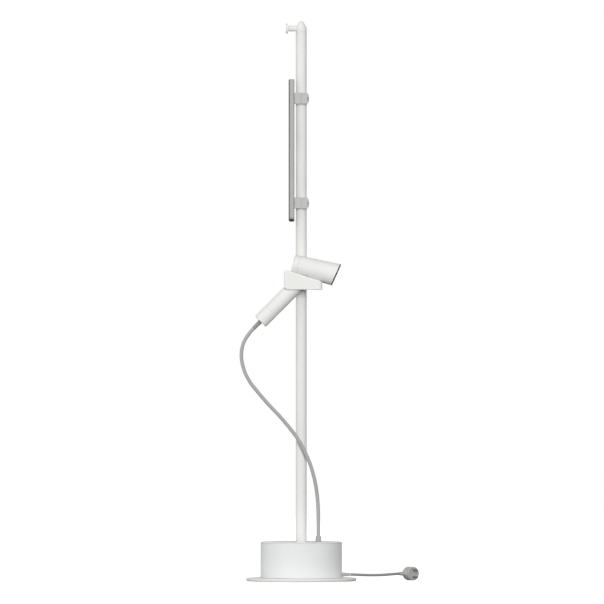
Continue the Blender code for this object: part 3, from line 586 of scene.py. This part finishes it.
def build_lid():
    """Lid with a groove round the pole and a skirt inside the drum; its top is glossier and painted a
    little darker than the drum, as painted shade on the top face.
    """
    collar = POLE_R + GAP
    groove = DRUM_TOP - 0.0006
    skirt_r = DRUM_R - DRUM_WALL - GAP
    skirt_low = LID_LOW - SKIRT_H
    lid = turned("drum_lid", [
        (collar, DRUM_TOP, 0.0004), (collar + 0.0030, DRUM_TOP, 0.0004),
        (collar + 0.0034, groove, 0.0003), (collar + 0.0044, groove, 0.0003),
        (collar + 0.0048, DRUM_TOP, 0.0004), (DRUM_R, DRUM_TOP, 0.0024), (DRUM_R, LID_LOW, 0.0005),
        (skirt_r, LID_LOW), (skirt_r, skirt_low, 0.0006), (skirt_r - SKIRT_T, skirt_low, 0.0006),
        (skirt_r - SKIRT_T, LID_LOW), (collar, LID_LOW, 0.0004)],
        "drum_white", "stand", segments=192, closed=True)
    # upward faces: glossier, and a darker tone that is painted shade
    second_surface(lid.data, "lid_top_painted_shade", lambda face: face.normal.z > 0.8)


def build_gland():
    """Gland in the drum's wall, with a ribbed bend protector for the mains lead."""
    turned("mains_gland", [
        (0.0, -0.0056), (0.0069, -0.0056, 0.0004), (0.0069, -0.0034, 0.0003), (0.0045, -0.0034),
        (0.0045, GAP), (0.0063, GAP, 0.0005), (0.0061, 0.0032, 0.0010), (0.0052, 0.0044, 0.0008)]
        + ribbed(5, 0.0060, 0.0030, 0.0052, 0.00022, 0.0018, 0.0008)
        + [(0.0043, 0.0211, 0.0002), (0.0042, 0.0220, 0.0006), (0.0, 0.0220)],
        "cord_grey", "stand", (DRUM_R, 0.0, LEAD_Z), ALONG_X, 64, steps=3)


def build_ferrule():
    """Smooth ferrule in the lid, where the handset's cord goes in."""
    turned("cord_ferrule", [
        (0.0, -0.0060), (0.0079, -0.0060, 0.0004), (0.0079, -0.0035, 0.0003), (0.0054, -0.0035),
        (0.0054, GAP), (0.0081, GAP, 0.0005), (0.0080, 0.0026, 0.0005), (0.0077, 0.0030, 0.0004),
        (0.0076, 0.0140, 0.0006), (0.0070, 0.0156, 0.0008), (0.0054, 0.0156, 0.0005),
        (0.0052, 0.0148), (0.0, 0.0148)],
        "cord_grey", "stand", (FERRULE_X, 0.0, DRUM_TOP), ALONG_Z, 64, steps=4)


# ---- pole
POLE_INNER = POLE_R - 0.0015
POLE_LOW = 0.0352
POLE_END = 1.4955
POLE_TOP = 1.525
HEAD_PLUG = 0.020                  # how far the head goes into the tube
CROWN = ((0.0022, 0.0001), (0.0040, 0.0007), (0.0055, 0.0017), (0.0068, 0.0032), (0.0080, 0.0053),
         (0.0093, 0.0079), (0.0106, 0.0104), (0.0119, 0.0125), (0.0131, 0.0144), (0.0140, 0.0165),
         (0.0146, 0.0191), (POLE_R, 0.0220), (POLE_R, 0.0230))   # radius, drop below the top
PEG_Z = 1.505
PEG_END = -0.0360
PEG_R = 0.0075
PEG_LEN = 0.0300
DISC_R = 0.0132
DISC_T = 0.0057


def build_pole_tube():
    turned("pole_tube", [
        (POLE_R, POLE_END, 0.0004), (POLE_R, POLE_LOW, 0.0004), (POLE_INNER, POLE_LOW, 0.0003),
        (POLE_INNER, POLE_END, 0.0003)],
        "stand_white", "stand", closed=True, steps=3)


def build_pole_head():
    """Domed cap whose lower part plugs into the tube."""
    inner = POLE_INNER - GAP
    low = POLE_END - HEAD_PLUG
    crown = [(radius, POLE_TOP - drop) for radius, drop in CROWN]
    turned("pole_head", [(0.0, POLE_TOP)] + crown + [
        (POLE_R, POLE_END + GAP, 0.0004), (inner, POLE_END + GAP), (inner, low), (0.0, low)],
        "stand_white", "stand")


def build_peg():
    """Short bar with a disc on its end, screwed on through the disc's middle."""
    turned("peg_bar", [
        (0.0, 0.0006), (PEG_R, 0.0006, 0.0005), (PEG_R, PEG_LEN, 0.0003), (0.0, PEG_LEN)],
        "stand_white", "stand", (PEG_END, 0.0, PEG_Z), ALONG_X, 64, steps=4)
    turned("peg_disc", [
        (0.0045, DISC_T, 0.0004), (DISC_R, DISC_T, 0.0020), (DISC_R, 0.0, 0.0010),
        (0.0021, 0.0), (0.0021, 0.0032), (0.0045, 0.0032)],
        "stand_white", "stand", (PEG_END - GAP, 0.0, PEG_Z), -ALONG_X, 80, True)


# ---- screws
CLAMP_SCREW = (0.0028, 0.0018, 0.0015, 0.0255)  # head radius, head height, shank radius, shank length
CRADLE_SCREW = (0.0036, 0.0028, 0.0020, 0.0305)


def cap_screw(name, place, axis, size, body):
    """Cap screw whose hexagon socket is part of the head's own mesh."""
    head_r, head_t, shank_r, shank_len = size
    segments = 48
    socket_r = head_r * 0.52
    socket_floor = head_t * 0.45
    rounding = head_t * 0.22

    def circle(radius, height):
        return [(radius * c, radius * s, height) for c, s in unit_circle(segments)]

    def hexagon(radius, height):
        sixth = math.pi / 6
        ring = []
        for k, (c, s) in enumerate(unit_circle(segments)):
            past_flat = (2 * math.pi * k / segments + sixth) % (2 * sixth) - sixth
            reach = radius * math.cos(sixth) / math.cos(past_flat)
            ring.append((reach * c, reach * s, height))
        return ring

    rings = [[(0.0, 0.0, -shank_len)], circle(shank_r * 0.7, -shank_len),
             circle(shank_r, -shank_len + shank_r * 0.5), circle(shank_r, 0.0),
             circle(head_r - 0.0001, 0.0), circle(head_r, head_t * 0.06)]
    rings += [circle(head_r - rounding * (1 - math.cos(a)), head_t - rounding * (1 - math.sin(a)))
              for a in arc_steps(4)]
    rings += [hexagon(socket_r + 0.00012, head_t), hexagon(socket_r, head_t - 0.00012),
              hexagon(socket_r, socket_floor), [(0.0, 0.0, socket_floor - socket_r * 0.3)]]
    mesh = rings_mesh(name, rings, False, place_frame(place, axis), 30.0)
    piece(name, mesh, "bright_steel", body)


# ---- display
PANEL_FRONT = -0.0343
PANEL_BACK = -0.0188
PANEL_HALF_W = 0.112
PANEL_BOTTOM = 0.980
PANEL_TOP = 1.365
PANEL_CORNER = 0.008
STRIP_H = 0.0032
GLASS_BACK = PANEL_FRONT + 0.0024
TRAY_FRONT = GLASS_BACK + GAP
REAR_FRONT = PANEL_BACK - 0.0016
TRAY_BACK = REAR_FRONT - GAP
TRAY_LOW = PANEL_BOTTOM + STRIP_H + GAP
TRAY_WALL = 0.0020
TRAY_SKIN = 0.0015
VENT_ROWS = 9
VENT_TOP = 1.2300
VENT_PITCH = 0.0060
VENT_MIDDLES = (-0.048, 0.048)
VENT_HALF_LEN = 0.030
VENT_HALF_H = 0.0011
BUTTON_Y = 0.080
CLAMP_HEIGHTS = {"upper": 1.3148, "lower": 1.0295}
CLAMP_H = 0.030
CLAMP_HALF_W = 0.0245
CLAMP_BACK = 0.0172
CLAMP_BORE = POLE_R + 0.0005 + 3 * GAP
CLAMP_SCREW_Y = 0.0203
SPLIT = 0.00015                    # half the gap between a clamp's two halves
KNOB_BACK = 0.0207
KNOB_R = 0.01185


def panel_ring(inset, x, low=PANEL_BOTTOM, steps=8):
    """The display's outline, a rounded rectangle across X, drawn in by inset."""
    half = PANEL_HALF_W - inset
    corner = max(PANEL_CORNER - inset, 0.0012)
    outline = rounded([(-half, low + inset, corner), (half, low + inset, corner),
                       (half, PANEL_TOP - inset, corner), (-half, PANEL_TOP - inset, corner)],
                      True, steps)
    return [(x, y, z) for y, z in outline]


def build_glass():
    """Front glass with a lens edge; its flat middle is the screen."""
    edge_w, edge_t = 0.0034, 0.0019
    rings = [panel_ring(0.0006, GLASS_BACK), panel_ring(0.0, GLASS_BACK - 0.0005)]
    rings += [panel_ring(edge_w * (1 - math.cos(a)), PANEL_FRONT + edge_t * (1 - math.sin(a)))
              for a in arc_steps(6)]
    rings += [panel_ring(0.0060, PANEL_FRONT), panel_ring(0.0062, PANEL_FRONT + 0.00004)]
    mesh = rings_mesh("display_glass", rings)
    pane = piece("display_glass", mesh, "dark_glass", "display")
    second_surface(mesh, "screen_glass",
                   lambda face: len(face.vertices) > 4 and face.center.x < PANEL_FRONT + 0.001)
    even_normals(pane)


def build_housing():
    """Tray between the glass and the rear plate, closed by its own inner faces."""
    rings = [panel_ring(inset, x, TRAY_LOW) for inset, x in (
        (TRAY_WALL, TRAY_BACK - TRAY_SKIN), (TRAY_WALL, TRAY_FRONT + 0.0003),
        (TRAY_WALL - 0.0003, TRAY_FRONT), (0.0003, TRAY_FRONT), (0.0, TRAY_FRONT + 0.0003),
        (0.0, TRAY_BACK - 0.0012), (0.0003, TRAY_BACK))]
    mesh = rings_mesh("display_housing", rings)
    even_normals(piece("display_housing", mesh, "panel_grey", "display"))


def vent_cutter():
    """Both blocks of vent slots as one mesh."""
    slots = bmesh.new()
    corner = VENT_HALF_H - 0.00001
    for row in range(VENT_ROWS):
        low = VENT_TOP - VENT_PITCH * row - VENT_HALF_H
        high = VENT_TOP - VENT_PITCH * row + VENT_HALF_H
        for middle in VENT_MIDDLES:
            left, right = middle - VENT_HALF_LEN, middle + VENT_HALF_LEN
            outline = rounded([(left, low, corner), (right, low, corner), (right, high, corner),
                               (left, high, corner)], True, 4)
            prism_bm(outline, REAR_FRONT - 0.001, PANEL_BACK + 0.001, "YZ", slots)
    return new_object("vent_cutter", finish_mesh(slots, "vent_cutter"))


def build_rear_plate():
    """Rear cover with a rounded back edge and two blocks of vents."""
    edge = 0.0013
    rings = [panel_ring(0.0003, REAR_FRONT), panel_ring(0.0, REAR_FRONT + 0.0003)]
    rings += [panel_ring(edge * (1 - math.cos(a)), PANEL_BACK - edge * (1 - math.sin(a)))
              for a in arc_steps(4)]
    plate = new_object("rear_blank", rings_mesh("rear_blank", rings))
    cutter = vent_cutter()
    boolean(plate, cutter)
    mesh = baked(plate, cutter, sharp=32.0)
    even_normals(piece("display_rear", mesh, "edge_grey", "display", "display_rear_plate"))
    second_surface(mesh, "back_grey", lambda face: face.normal.x > 0.9)


def build_bottom_strip():
    half, low, high = PANEL_HALF_W, PANEL_BOTTOM, PANEL_BOTTOM + STRIP_H
    shoulder = low + 0.0024
    outline = rounded([(-half, high, 0.0004), (-half, shoulder, 0.001), (-half + 0.003, low, 0.002),
                       (half - 0.003, low, 0.002), (half, shoulder, 0.001), (half, high, 0.0004)],
                      True, 4)
    prism("display_bottom", outline, TRAY_FRONT, TRAY_BACK, "YZ", "black_plastic", "display",
          0.0004, 2, "display_bottom_strip")


def build_power_button():
    """Round button in the bottom strip, held by a collar above it."""
    x = (TRAY_FRONT + TRAY_BACK - TRAY_SKIN) / 2
    top = TRAY_LOW + TRAY_WALL - PANEL_BOTTOM
    turned("power_button", [
        (0.0, top + 0.0015), (0.0043, top + 0.0015, 0.0003), (0.0043, top + GAP), (0.0035, top + GAP),
        (0.0035, -0.0008, 0.0006), (0.0022, -0.0008, 0.0004), (0.0016, -0.0005, 0.0004),
        (0.0, -0.0005)],
        "panel_grey", "power_button", (x, BUTTON_Y, PANEL_BOTTOM), ALONG_Z, 48)


def build_clamps():
    for name, z in CLAMP_HEIGHTS.items():
        build_clamp(name, z)
        build_knob(name, z)


def build_clamp(name, z):
    """Clamp split in two halves round the pole, with a cap screw at each side."""
    low, high = z - CLAMP_H / 2, z + CLAMP_H / 2
    front = PANEL_BACK + GAP
    half = CLAMP_HALF_W
    cut = math.degrees(math.asin(SPLIT / CLAMP_BORE))
    block = rounded([(-SPLIT, half), (front, half, 0.0012), (front, -half, 0.0012), (-SPLIT, -half)],
                    True, 4)
    block += bore_arc(CLAMP_BORE, 270 - cut, 90 + cut)
    prism(f"{name}_clamp_block", block, low, high, "XY", "clamp_grey", "display", 0.0005)
    strap = rounded([(SPLIT, -half), (CLAMP_BACK, -half, 0.0016), (CLAMP_BACK, half, 0.0016),
                     (SPLIT, half)], True, 5)
    strap += bore_arc(CLAMP_BORE, 90 - cut, -90 + cut)
    prism(f"{name}_clamp_strap", strap, low, high, "XY", "clamp_grey", "display", 0.0005)
    for side, y in (("a", -CLAMP_SCREW_Y), ("b", CLAMP_SCREW_Y)):
        cap_screw(f"{name}_clamp_screw_{side}", (CLAMP_BACK + GAP, y, z), ALONG_X, CLAMP_SCREW, "display")


def build_knob(name, z):
    """Low domed knob behind a clamp."""
    rise = KNOB_BACK - CLAMP_BACK - GAP
    foot = 0.0006
    dome = [(KNOB_R * math.sin(a) ** 0.8, foot + (rise - foot) * math.cos(a))
            for a in arc_steps(12)[1:]]
    turned(f"{name}_knob", [(0.0, rise)] + dome + [
        (KNOB_R, 0.0005), (KNOB_R, 0.0, 0.0003), (0.0030, 0.0), (0.0030, -0.0014), (0.0, -0.0014)],
        "clamp_grey", f"{name}_knob", (CLAMP_BACK + GAP, 0.0, z), ALONG_X, 80)


# ---- handset
HANDSET_Y = -0.047
BARREL_REAR = Vector((-0.0232, HANDSET_Y, 0.8624))
BARREL_TILT = math.radians(13.5)
BARREL_AXIS = Vector((math.cos(BARREL_TILT), 0.0, -math.sin(BARREL_TILT)))
BARREL_UP = Vector((math.sin(BARREL_TILT), 0.0, math.cos(BARREL_TILT)))
BARREL_LEN = 0.1228
BARREL_R_REAR = 0.0275
BARREL_R_FRONT = 0.0307
BARREL_ROUND = 0.0065
FRONT_SLANT = math.tan(math.radians(10.6))
RING_T = 0.0035
WINDOW_R = 0.0262
SEAM = 0.0150                      # where the rear cap meets the barrel
SHELL_T = 0.0024
HANDLE_TOP = Vector((0.0313, HANDSET_Y, 0.8494))
HANDLE_AXIS = Vector((-math.sqrt(0.5), 0.0, -math.sqrt(0.5)))
HANDLE_FRONT = Vector((math.sqrt(0.5), 0.0, -math.sqrt(0.5)))
HANDLE_R = 0.0207
HANDLE_LEN = 0.2016
GRIP_END = HANDLE_LEN - 0.041
NECK_R = 0.0140
TRIGGER_AT = 0.075
TRIGGER_LEN = 0.034
TRIGGER_W = 0.014


def barrel_radius(along):
    return BARREL_R_REAR + (BARREL_R_FRONT - BARREL_R_REAR) / BARREL_LEN * along


def on_handle(along, out=0.0):
    return HANDLE_TOP + HANDLE_AXIS * along + HANDLE_FRONT * out


def nose_piece(name, points, slot, segments=128):
    """Turned piece from points: radius, distance behind the nose and share of its slant."""
    profile = [(radius, BARREL_LEN - behind, share * FRONT_SLANT) for radius, behind, share in points]
    matrix = place_frame(BARREL_REAR, BARREL_AXIS, BARREL_UP)
    mesh = turned_mesh(name, profile, matrix, segments, closed=points[0][0] > TIP)
    even_normals(piece(name, mesh, slot, "handset"))


def build_barrel():
    """Barrel shell: upright at the seam, leaning with the nose at its front."""
    steps = 12
    front = RING_T + GAP
    length = BARREL_LEN - SEAM
    outer = [(barrel_radius(BARREL_LEN - front), front + 0.0003, 1.0)]
    for k in range(1, steps + 1):
        behind = front + (length - front) * k / steps - (0.0003 if k == steps else 0.0)
        outer.append((barrel_radius(BARREL_LEN - behind), behind, 1 - k / steps))
    seam_r, front_r = barrel_radius(SEAM), barrel_radius(BARREL_LEN)
    inner = [(seam_r - 0.0003, length, 0.0), (seam_r - SHELL_T, length, 0.0),
             (front_r - SHELL_T, front, 1.0), (front_r - 0.0004, front, 1.0)]
    nose_piece("handset_barrel", outer + inner, "handset_white")


def build_rear_cap():
    """Rear cap with a rounded edge and an almost flat middle."""
    seam_r = barrel_radius(SEAM)
    shoulder = barrel_radius(BARREL_ROUND) - BARREL_ROUND
    profile = [(seam_r - 0.0003, SEAM - GAP), (seam_r, SEAM - GAP - 0.0003)]
    profile += [(shoulder + BARREL_ROUND * math.cos(a), BARREL_ROUND * (1 - math.sin(a)))
                for a in arc_steps(8)]
    profile.append((0.0150, -0.0001))
    turned("handset_rear", profile, "handset_white", "handset", BARREL_REAR, BARREL_AXIS, 128,
           node="handset_rear_cap")


def build_nose():
    """Dark ring round the nose, and the scan window set back in it."""
    edge = barrel_radius(BARREL_LEN)
    nose_piece("window_ring", [
        (edge - 0.0003, 0.0, 1.0), (edge, 0.0005, 1.0), (edge, RING_T - 0.0003, 1.0),
        (edge - 0.0003, RING_T, 1.0), (WINDOW_R, RING_T, 1.0), (WINDOW_R, 0.0006, 1.0),
        (WINDOW_R + 0.0005, 0.0, 1.0)], "black_plastic")
    pane = WINDOW_R - GAP
    nose_piece("scan_window", [
        (0.0, 0.0014, 1.0), (pane - 0.0003, 0.0014, 1.0), (pane, 0.0016, 1.0), (pane, 0.0031, 1.0),
        (0.0, 0.0031, 1.0)], "dark_glass", 96)


def trigger_block(name, size, centre, corner):
    """Block in the handle's own frame, its length along the handle, with rounded ends."""
    depth, width, length = size
    outline = rounded([(-width / 2, -length / 2, corner), (width / 2, -length / 2, corner),
                       (width / 2, length / 2, corner), (-width / 2, length / 2, corner)], True)
    bm = prism_bm(outline, -depth / 2, depth / 2, "YZ")
    bm.transform(place_frame(centre, HANDLE_AXIS, HANDLE_FRONT))
    return new_object(name, finish_mesh(bm, name))


def build_handle():
    """Handle: a slim neck in the barrel that widens to the grip, with a slot for the trigger."""
    outside = [(NECK_R, 0.016), (NECK_R, 0.030, 0.02), (NECK_R + 0.0022, 0.040, 0.02),
               (HANDLE_R - 0.0012, 0.051, 0.02), (HANDLE_R, 0.060, 0.02), (HANDLE_R, GRIP_END, 0.0003)]
    inside = [(HANDLE_R - SHELL_T, GRIP_END), (HANDLE_R - SHELL_T, 0.060), (NECK_R - 0.002, 0.030),
              (NECK_R - 0.002, 0.016)]
    matrix = place_frame(HANDLE_TOP, HANDLE_AXIS, HANDLE_FRONT)
    profile = rounded(outside + inside, False, 6)
    grip = new_object("grip_blank", turned_mesh("grip_blank", profile, matrix, 128, True))
    slot = trigger_block("trigger_slot", (0.020, TRIGGER_W + 0.0006, TRIGGER_LEN + 0.0006),
                         on_handle(TRIGGER_AT, HANDLE_R), 0.0030)
    boolean(grip, slot)
    mesh = baked(grip, slot, sharp=32.0)
    even_normals(piece("handset_handle", mesh, "handset_white", "handset"))


def build_trigger():
    """Trigger: a block cut to the handle's own curve, a hair inside its surface."""
    block = trigger_block("trigger_blank", (0.0100, TRIGGER_W, TRIGGER_LEN),
                          on_handle(TRIGGER_AT, 0.0170), 0.0028)
    curve_mesh = rod_mesh("trigger_face", HANDLE_R - 0.0002, on_handle(0.03), on_handle(0.12), 160)
    curve = new_object("trigger_face", curve_mesh)
    boolean(block, curve, "INTERSECT")
    soften(block, 0.0005, 3, 40.0)
    mesh = baked(block, curve, sharp=40.0)
    even_normals(piece("trigger", mesh, "panel_grey", "trigger"))


def build_handle_cap():
    turned("handle_cap", [
        (HANDLE_R - 0.0002, GRIP_END + GAP), (HANDLE_R, GRIP_END + GAP + 0.0003),
        (HANDLE_R, HANDLE_LEN, 0.0026), (0.0, HANDLE_LEN)],
        "handset_white", "handset", HANDLE_TOP, HANDLE_AXIS, 128, steps=6, node="handle_end_cap")


def build_strain_relief():
    """Ribbed relief where the cord leaves the handle's end."""
    turned("strain_relief", [
        (0.0, -0.0058), (0.0076, -0.0058), (0.0076, -0.0033), (0.0051, -0.0033), (0.0051, GAP),
        (0.0064, GAP, 0.0006), (0.0062, 0.0042, 0.0006)]
        + ribbed(6, 0.0050, 0.0034, 0.0061, 0.00008, 0.0021, 0.0007, 0.0005, 0.00008)
        + [(0.0056, 0.0262, 0.0002), (0.0055, 0.0280, 0.0006), (0.0, 0.0280)],
        "relief_grey", "handset", on_handle(HANDLE_LEN), HANDLE_AXIS, 64, steps=3,
        node="handset_strain_relief")


# ---- cradle
CRADLE_NEAR = -0.0735
CRADLE_FAR = -0.0185
CRADLE_LOW = 0.7932
CRADLE_LEFT = -0.0472
CRADLE_RIGHT = 0.0570
CRADLE_FILLET = 0.0048
RIM_LEFT = 0.8495
RIM_RIGHT = 0.8165
HANDLE_BORE = 0.0215
STRAP_LOW = 0.7975
STRAP_HIGH = 0.8215
STRAP_HALF_W = 0.0255
STRAP_BACK = 0.0200
STRAP_SPLIT = 0.0004               # half the gap between the strap and the cradle
STRAP_SCREW_X = 0.0208


def cradle_rings():
    """Side outline from the far face to the near one, whose top edge has the widest fillet."""
    side = rounded([(CRADLE_LEFT, CRADLE_LOW, 0.013), (CRADLE_RIGHT, CRADLE_LOW, 0.0015),
                    (CRADLE_RIGHT, RIM_RIGHT, 0.013), (CRADLE_LEFT, RIM_LEFT, 0.007)], True, 8)
    rings = [[(point.x, CRADLE_FAR, point.y) for point in side]]
    for a in arc_steps(6):
        y = CRADLE_NEAR + CRADLE_FILLET * (1 - math.sin(a))
        ring = []
        for k, point in enumerate(side):
            edge = (side[(k + 1) % len(side)] - side[k - 1]).normalized()
            share = -edge.x if edge.x < 0.0 else 0.2 * edge.x
            inset = CRADLE_FILLET * share * (1 - math.cos(a))
            ring.append((point.x - inset * edge.y, y, point.y + inset * edge.x))
        rings.append(ring)
    return rings


def cradle_shapers():
    """What the cradle's blank is cut to: (name, mesh, operation) for each step."""
    plan = rounded([(CRADLE_LEFT, CRADLE_NEAR, 0.004), (CRADLE_RIGHT, CRADLE_NEAR, 0.009),
                    (CRADLE_RIGHT, CRADLE_FAR, 0.006), (CRADLE_LEFT, CRADLE_FAR, 0.004)], True, 8)
    plan_bm = prism_bm(plan, CRADLE_LOW - 0.01, RIM_LEFT + 0.01, "XY")
    lug_near = CRADLE_FAR - 0.004
    lug = [(-STRAP_HALF_W, lug_near), (STRAP_HALF_W, lug_near), (STRAP_HALF_W, -STRAP_SPLIT),
           (-STRAP_HALF_W, -STRAP_SPLIT)]
    lug_bm = prism_bm(lug, STRAP_LOW, STRAP_HIGH, "XY")
    reach = 0.17
    room = [(0.0, 0.0), (barrel_radius(0.0) + 0.0012, 0.0), (barrel_radius(reach) + 0.0020, reach),
            (0.0, reach)]
    room_frame = place_frame(BARREL_REAR - BARREL_AXIS * 0.0022, BARREL_AXIS)
    return (
        ("plan", finish_mesh(plan_bm, "plan"), "INTERSECT"),
        ("lug", finish_mesh(lug_bm, "lug"), "UNION"),
        ("pole_bore", rod_mesh("pole_bore", POLE_R + GAP, (0, 0, 0.75), (0, 0, 0.90), 96), "DIFFERENCE"),
        ("barrel_room", turned_mesh("barrel_room", room, room_frame, 128), "DIFFERENCE"),
        ("handle_bore", rod_mesh("handle_bore", HANDLE_BORE, on_handle(-0.06), on_handle(0.16), 96),
         "DIFFERENCE"))


def build_cradle_body():
    """Cradle: its blank is cut to shape, then remeshed and relaxed so that every edge is soft."""
    body = new_object("cradle_blank", rings_mesh("cradle_blank", cradle_rings()))
    shapers = []
    for name, mesh, operation in cradle_shapers():
        shapers.append(new_object(name, mesh))
        boolean(body, shapers[-1], operation)
    remesh = body.modifiers.new("remesh", "REMESH")
    remesh.mode = "VOXEL"
    remesh.voxel_size = 0.00075
    relax = body.modifiers.new("relax", "SMOOTH")
    relax.factor = 0.5
    relax.iterations = 8
    mesh = baked(body, *shapers, sharp=180.0)
    piece("cradle_body", mesh, "cradle_white", "stand")


def build_cradle_strap():
    """Strap behind the pole, with a cap screw at each side."""
    bore = POLE_R + GAP
    half = STRAP_HALF_W
    cut = math.degrees(math.asin(STRAP_SPLIT / bore))
    strap = rounded([(half, STRAP_SPLIT, 0.0004), (half, STRAP_BACK, 0.0055),
                     (-half, STRAP_BACK, 0.0055), (-half, STRAP_SPLIT, 0.0004)], True, 6)
    strap += bore_arc(bore, 180 - cut, cut)
    prism("cradle_strap", strap, STRAP_LOW, STRAP_HIGH, "XY", "cradle_white", "stand", 0.0012)
    middle = (STRAP_LOW + STRAP_HIGH) / 2
    for side, x in (("a", -STRAP_SCREW_X), ("b", STRAP_SCREW_X)):
        cap_screw(f"cradle_screw_{side}", (x, STRAP_BACK + GAP, middle), ALONG_Y, CRADLE_SCREW, "stand")


# ---- plug
PLUG_CENTRE = Vector((0.298, 0.052, 0.019))
PLUG_YAW = math.radians(35.0)
PLUG_OUT = Vector((math.sin(PLUG_YAW), -math.cos(PLUG_YAW), 0.0))
PLUG_LEAD = Vector((-math.cos(PLUG_YAW), -math.sin(PLUG_YAW), 0.0))
PLUG_R = 0.0185
PLUG_DEPTH = 0.030
PLUG_NECK = 0.018
PIN_R = 0.0024
PIN_LEN = 0.0190
PIN_ROOT = 0.0047
PIN_OFFSET = 0.0095


def build_plug():
    """Round plug that lies on its rim: body, ribbed neck and two pins."""
    half = PLUG_DEPTH / 2
    body = turned("plug_body", [
        (0.0, half - 0.0012), (0.0130, half - 0.0012, 0.0006), (0.0138, half, 0.0006),
        (PLUG_R, half, 0.0020), (PLUG_R, 0.0030, 0.0010), (PLUG_R - 0.0006, 0.0022, 0.0003),
        (PLUG_R - 0.0006, 0.0014, 0.0003), (PLUG_R, 0.0006, 0.0010), (PLUG_R, -half, 0.0050),
        (0.0, -half)],
        "cord_grey", "stand", PLUG_CENTRE, PLUG_OUT, 96)
    start = PLUG_R - 0.0045
    end = PLUG_R + PLUG_NECK
    neck = turned("plug_neck", [
        (0.0, start - 0.004), (0.0105, start - 0.004), (0.0092, start + 0.0030, 0.004),
        (0.0064, start + 0.0070, 0.002)]
        + ribbed(4, start + 0.0085, 0.0030, 0.0060, 0.00032, 0.0018, 0.0007)
        + [(0.0047, end - 0.0010, 0.0003), (0.0046, end, 0.0007), (0.0, end)],
        "cord_grey", "stand", PLUG_CENTRE, PLUG_LEAD, 64, steps=4, node="")
    pins = []
    for name, rise in (("plug_pin_low", -PIN_OFFSET), ("plug_pin_high", PIN_OFFSET)):
        root = PLUG_CENTRE + PLUG_OUT * half + ALONG_Z * rise
        pins.append(turned(name, [
            (0.0, PIN_LEN), (PIN_R, PIN_LEN, 0.0013), (PIN_R, -PIN_ROOT, 0.0003), (0.0, -PIN_ROOT)],
            "bright_steel", "stand", root, PLUG_OUT, 40))
    return [body, neck] + pins


for build in (build_plate, build_foot_ring, build_drum, build_lid, build_gland, build_ferrule,
              build_pole_tube, build_pole_head, build_peg,
              build_glass, build_housing, build_rear_plate, build_bottom_strip, build_power_button,
              build_clamps, build_barrel, build_rear_cap, build_nose, build_handle, build_trigger,
              build_handle_cap, build_strain_relief, build_cradle_body, build_cradle_strap):
    build()
plug_pieces = build_plug()
finish_cad_nodes()


# ---- stage and light
TENT_LEVEL = 0.45                  # radiance of the surroundings and how it changes with direction
TENT_TOP = 0.11
TENT_UNDER = -0.93
TENT_LEFT = 0.50
TENT_RIGHT = -0.24
TENT_LEAST = 0.03
FLOOR_R = 9.0
SOFTBOX_SIZE = (2.2, 3.0)
STAND_MIDDLE = Vector((0.0, 0.0, 0.8))


def make_floor():
    """Pale floor that the object darkens but that sends no light back up."""
    bm = bmesh.new()
    bmesh.ops.create_circle(bm, cap_ends=True, segments=96, radius=FLOOR_R)
    floor = new_object("floor", finish_mesh(bm, "floor"))
    floor.location.z = -0.0002
    pale = Surface("floor_paper", (0.30, 0.30, 0.30), 0.8)
    pale.mottled(3.0, 0.01)
    pale.set(Emission_Color=(1.0, 1.0, 1.0, 1.0), Emission_Strength=0.88, Specular_IOR_Level=0.1)
    floor.data.materials.append(pale.material)
    floor.visible_diffuse = False
    floor.visible_glossy = False
    floor.visible_shadow = False


def make_world():
    """White surroundings: brightest at the left, dim below and at the right."""
    world = bpy.data.worlds.new("tent")
    bpy.context.scene.world = world
    world.use_nodes = True
    nodes, links = world.node_tree.nodes, world.node_tree.links
    background = nodes["Background"]

    def math_node(operation, first, second, third=None):
        node = nodes.new("ShaderNodeMath")
        node.operation = operation
        for socket, value in zip(node.inputs, (first, second, third)):
            if isinstance(value, float):
                socket.default_value = value
            elif value is not None:
                links.new(value, socket)
        return node.outputs["Value"]

    place = nodes.new("ShaderNodeTexCoord")
    split = nodes.new("ShaderNodeSeparateXYZ")
    links.new(place.outputs["Generated"], split.inputs["Vector"])
    light = TENT_LEVEL
    for axis, pick, squarings, share in (("Z", "MAXIMUM", 1, TENT_TOP), ("Z", "MINIMUM", 1, TENT_UNDER),
                                         ("X", "MAXIMUM", 2, TENT_RIGHT), ("X", "MINIMUM", 1, TENT_LEFT)):
        side = math_node(pick, split.outputs[axis], 0.0)
        for _ in range(squarings):
            side = math_node("MULTIPLY", side, side)
        light = math_node("MULTIPLY_ADD", side, share, light)
    light = math_node("MAXIMUM", light, TENT_LEAST)
    path = nodes.new("ShaderNodeLightPath")
    seen = nodes.new("ShaderNodeMix")
    seen.data_type = "FLOAT"
    seen.inputs["B"].default_value = 1.0
    links.new(path.outputs["Is Camera Ray"], seen.inputs["Factor"])
    links.new(light, seen.inputs["A"])
    links.new(seen.outputs["Result"], background.inputs["Strength"])
    background.inputs["Color"].default_value = (1.0, 1.0, 1.0, 1.0)


def softbox(name, place, power):
    """Large soft light on the stand that leaves no mirror image of itself in glossy pieces."""
    data = bpy.data.lights.new(name, "AREA")
    data.shape = "RECTANGLE"
    data.size, data.size_y = SOFTBOX_SIZE
    data.energy = power
    light = new_object(name, data)
    light.location = place
    light.visible_glossy = False
    light.rotation_euler = (STAND_MIDDLE - Vector(place)).to_track_quat("-Z", "Y").to_euler()


make_floor()
make_world()
softbox("front_softbox", (0.8, -7.5, 2.4), 410.0)
softbox("back_softbox", (2.4, 7.0, 2.4), 270.0)
bpy.context.scene.view_settings.view_transform = "Standard"
bpy.context.scene.view_settings.look = "None"
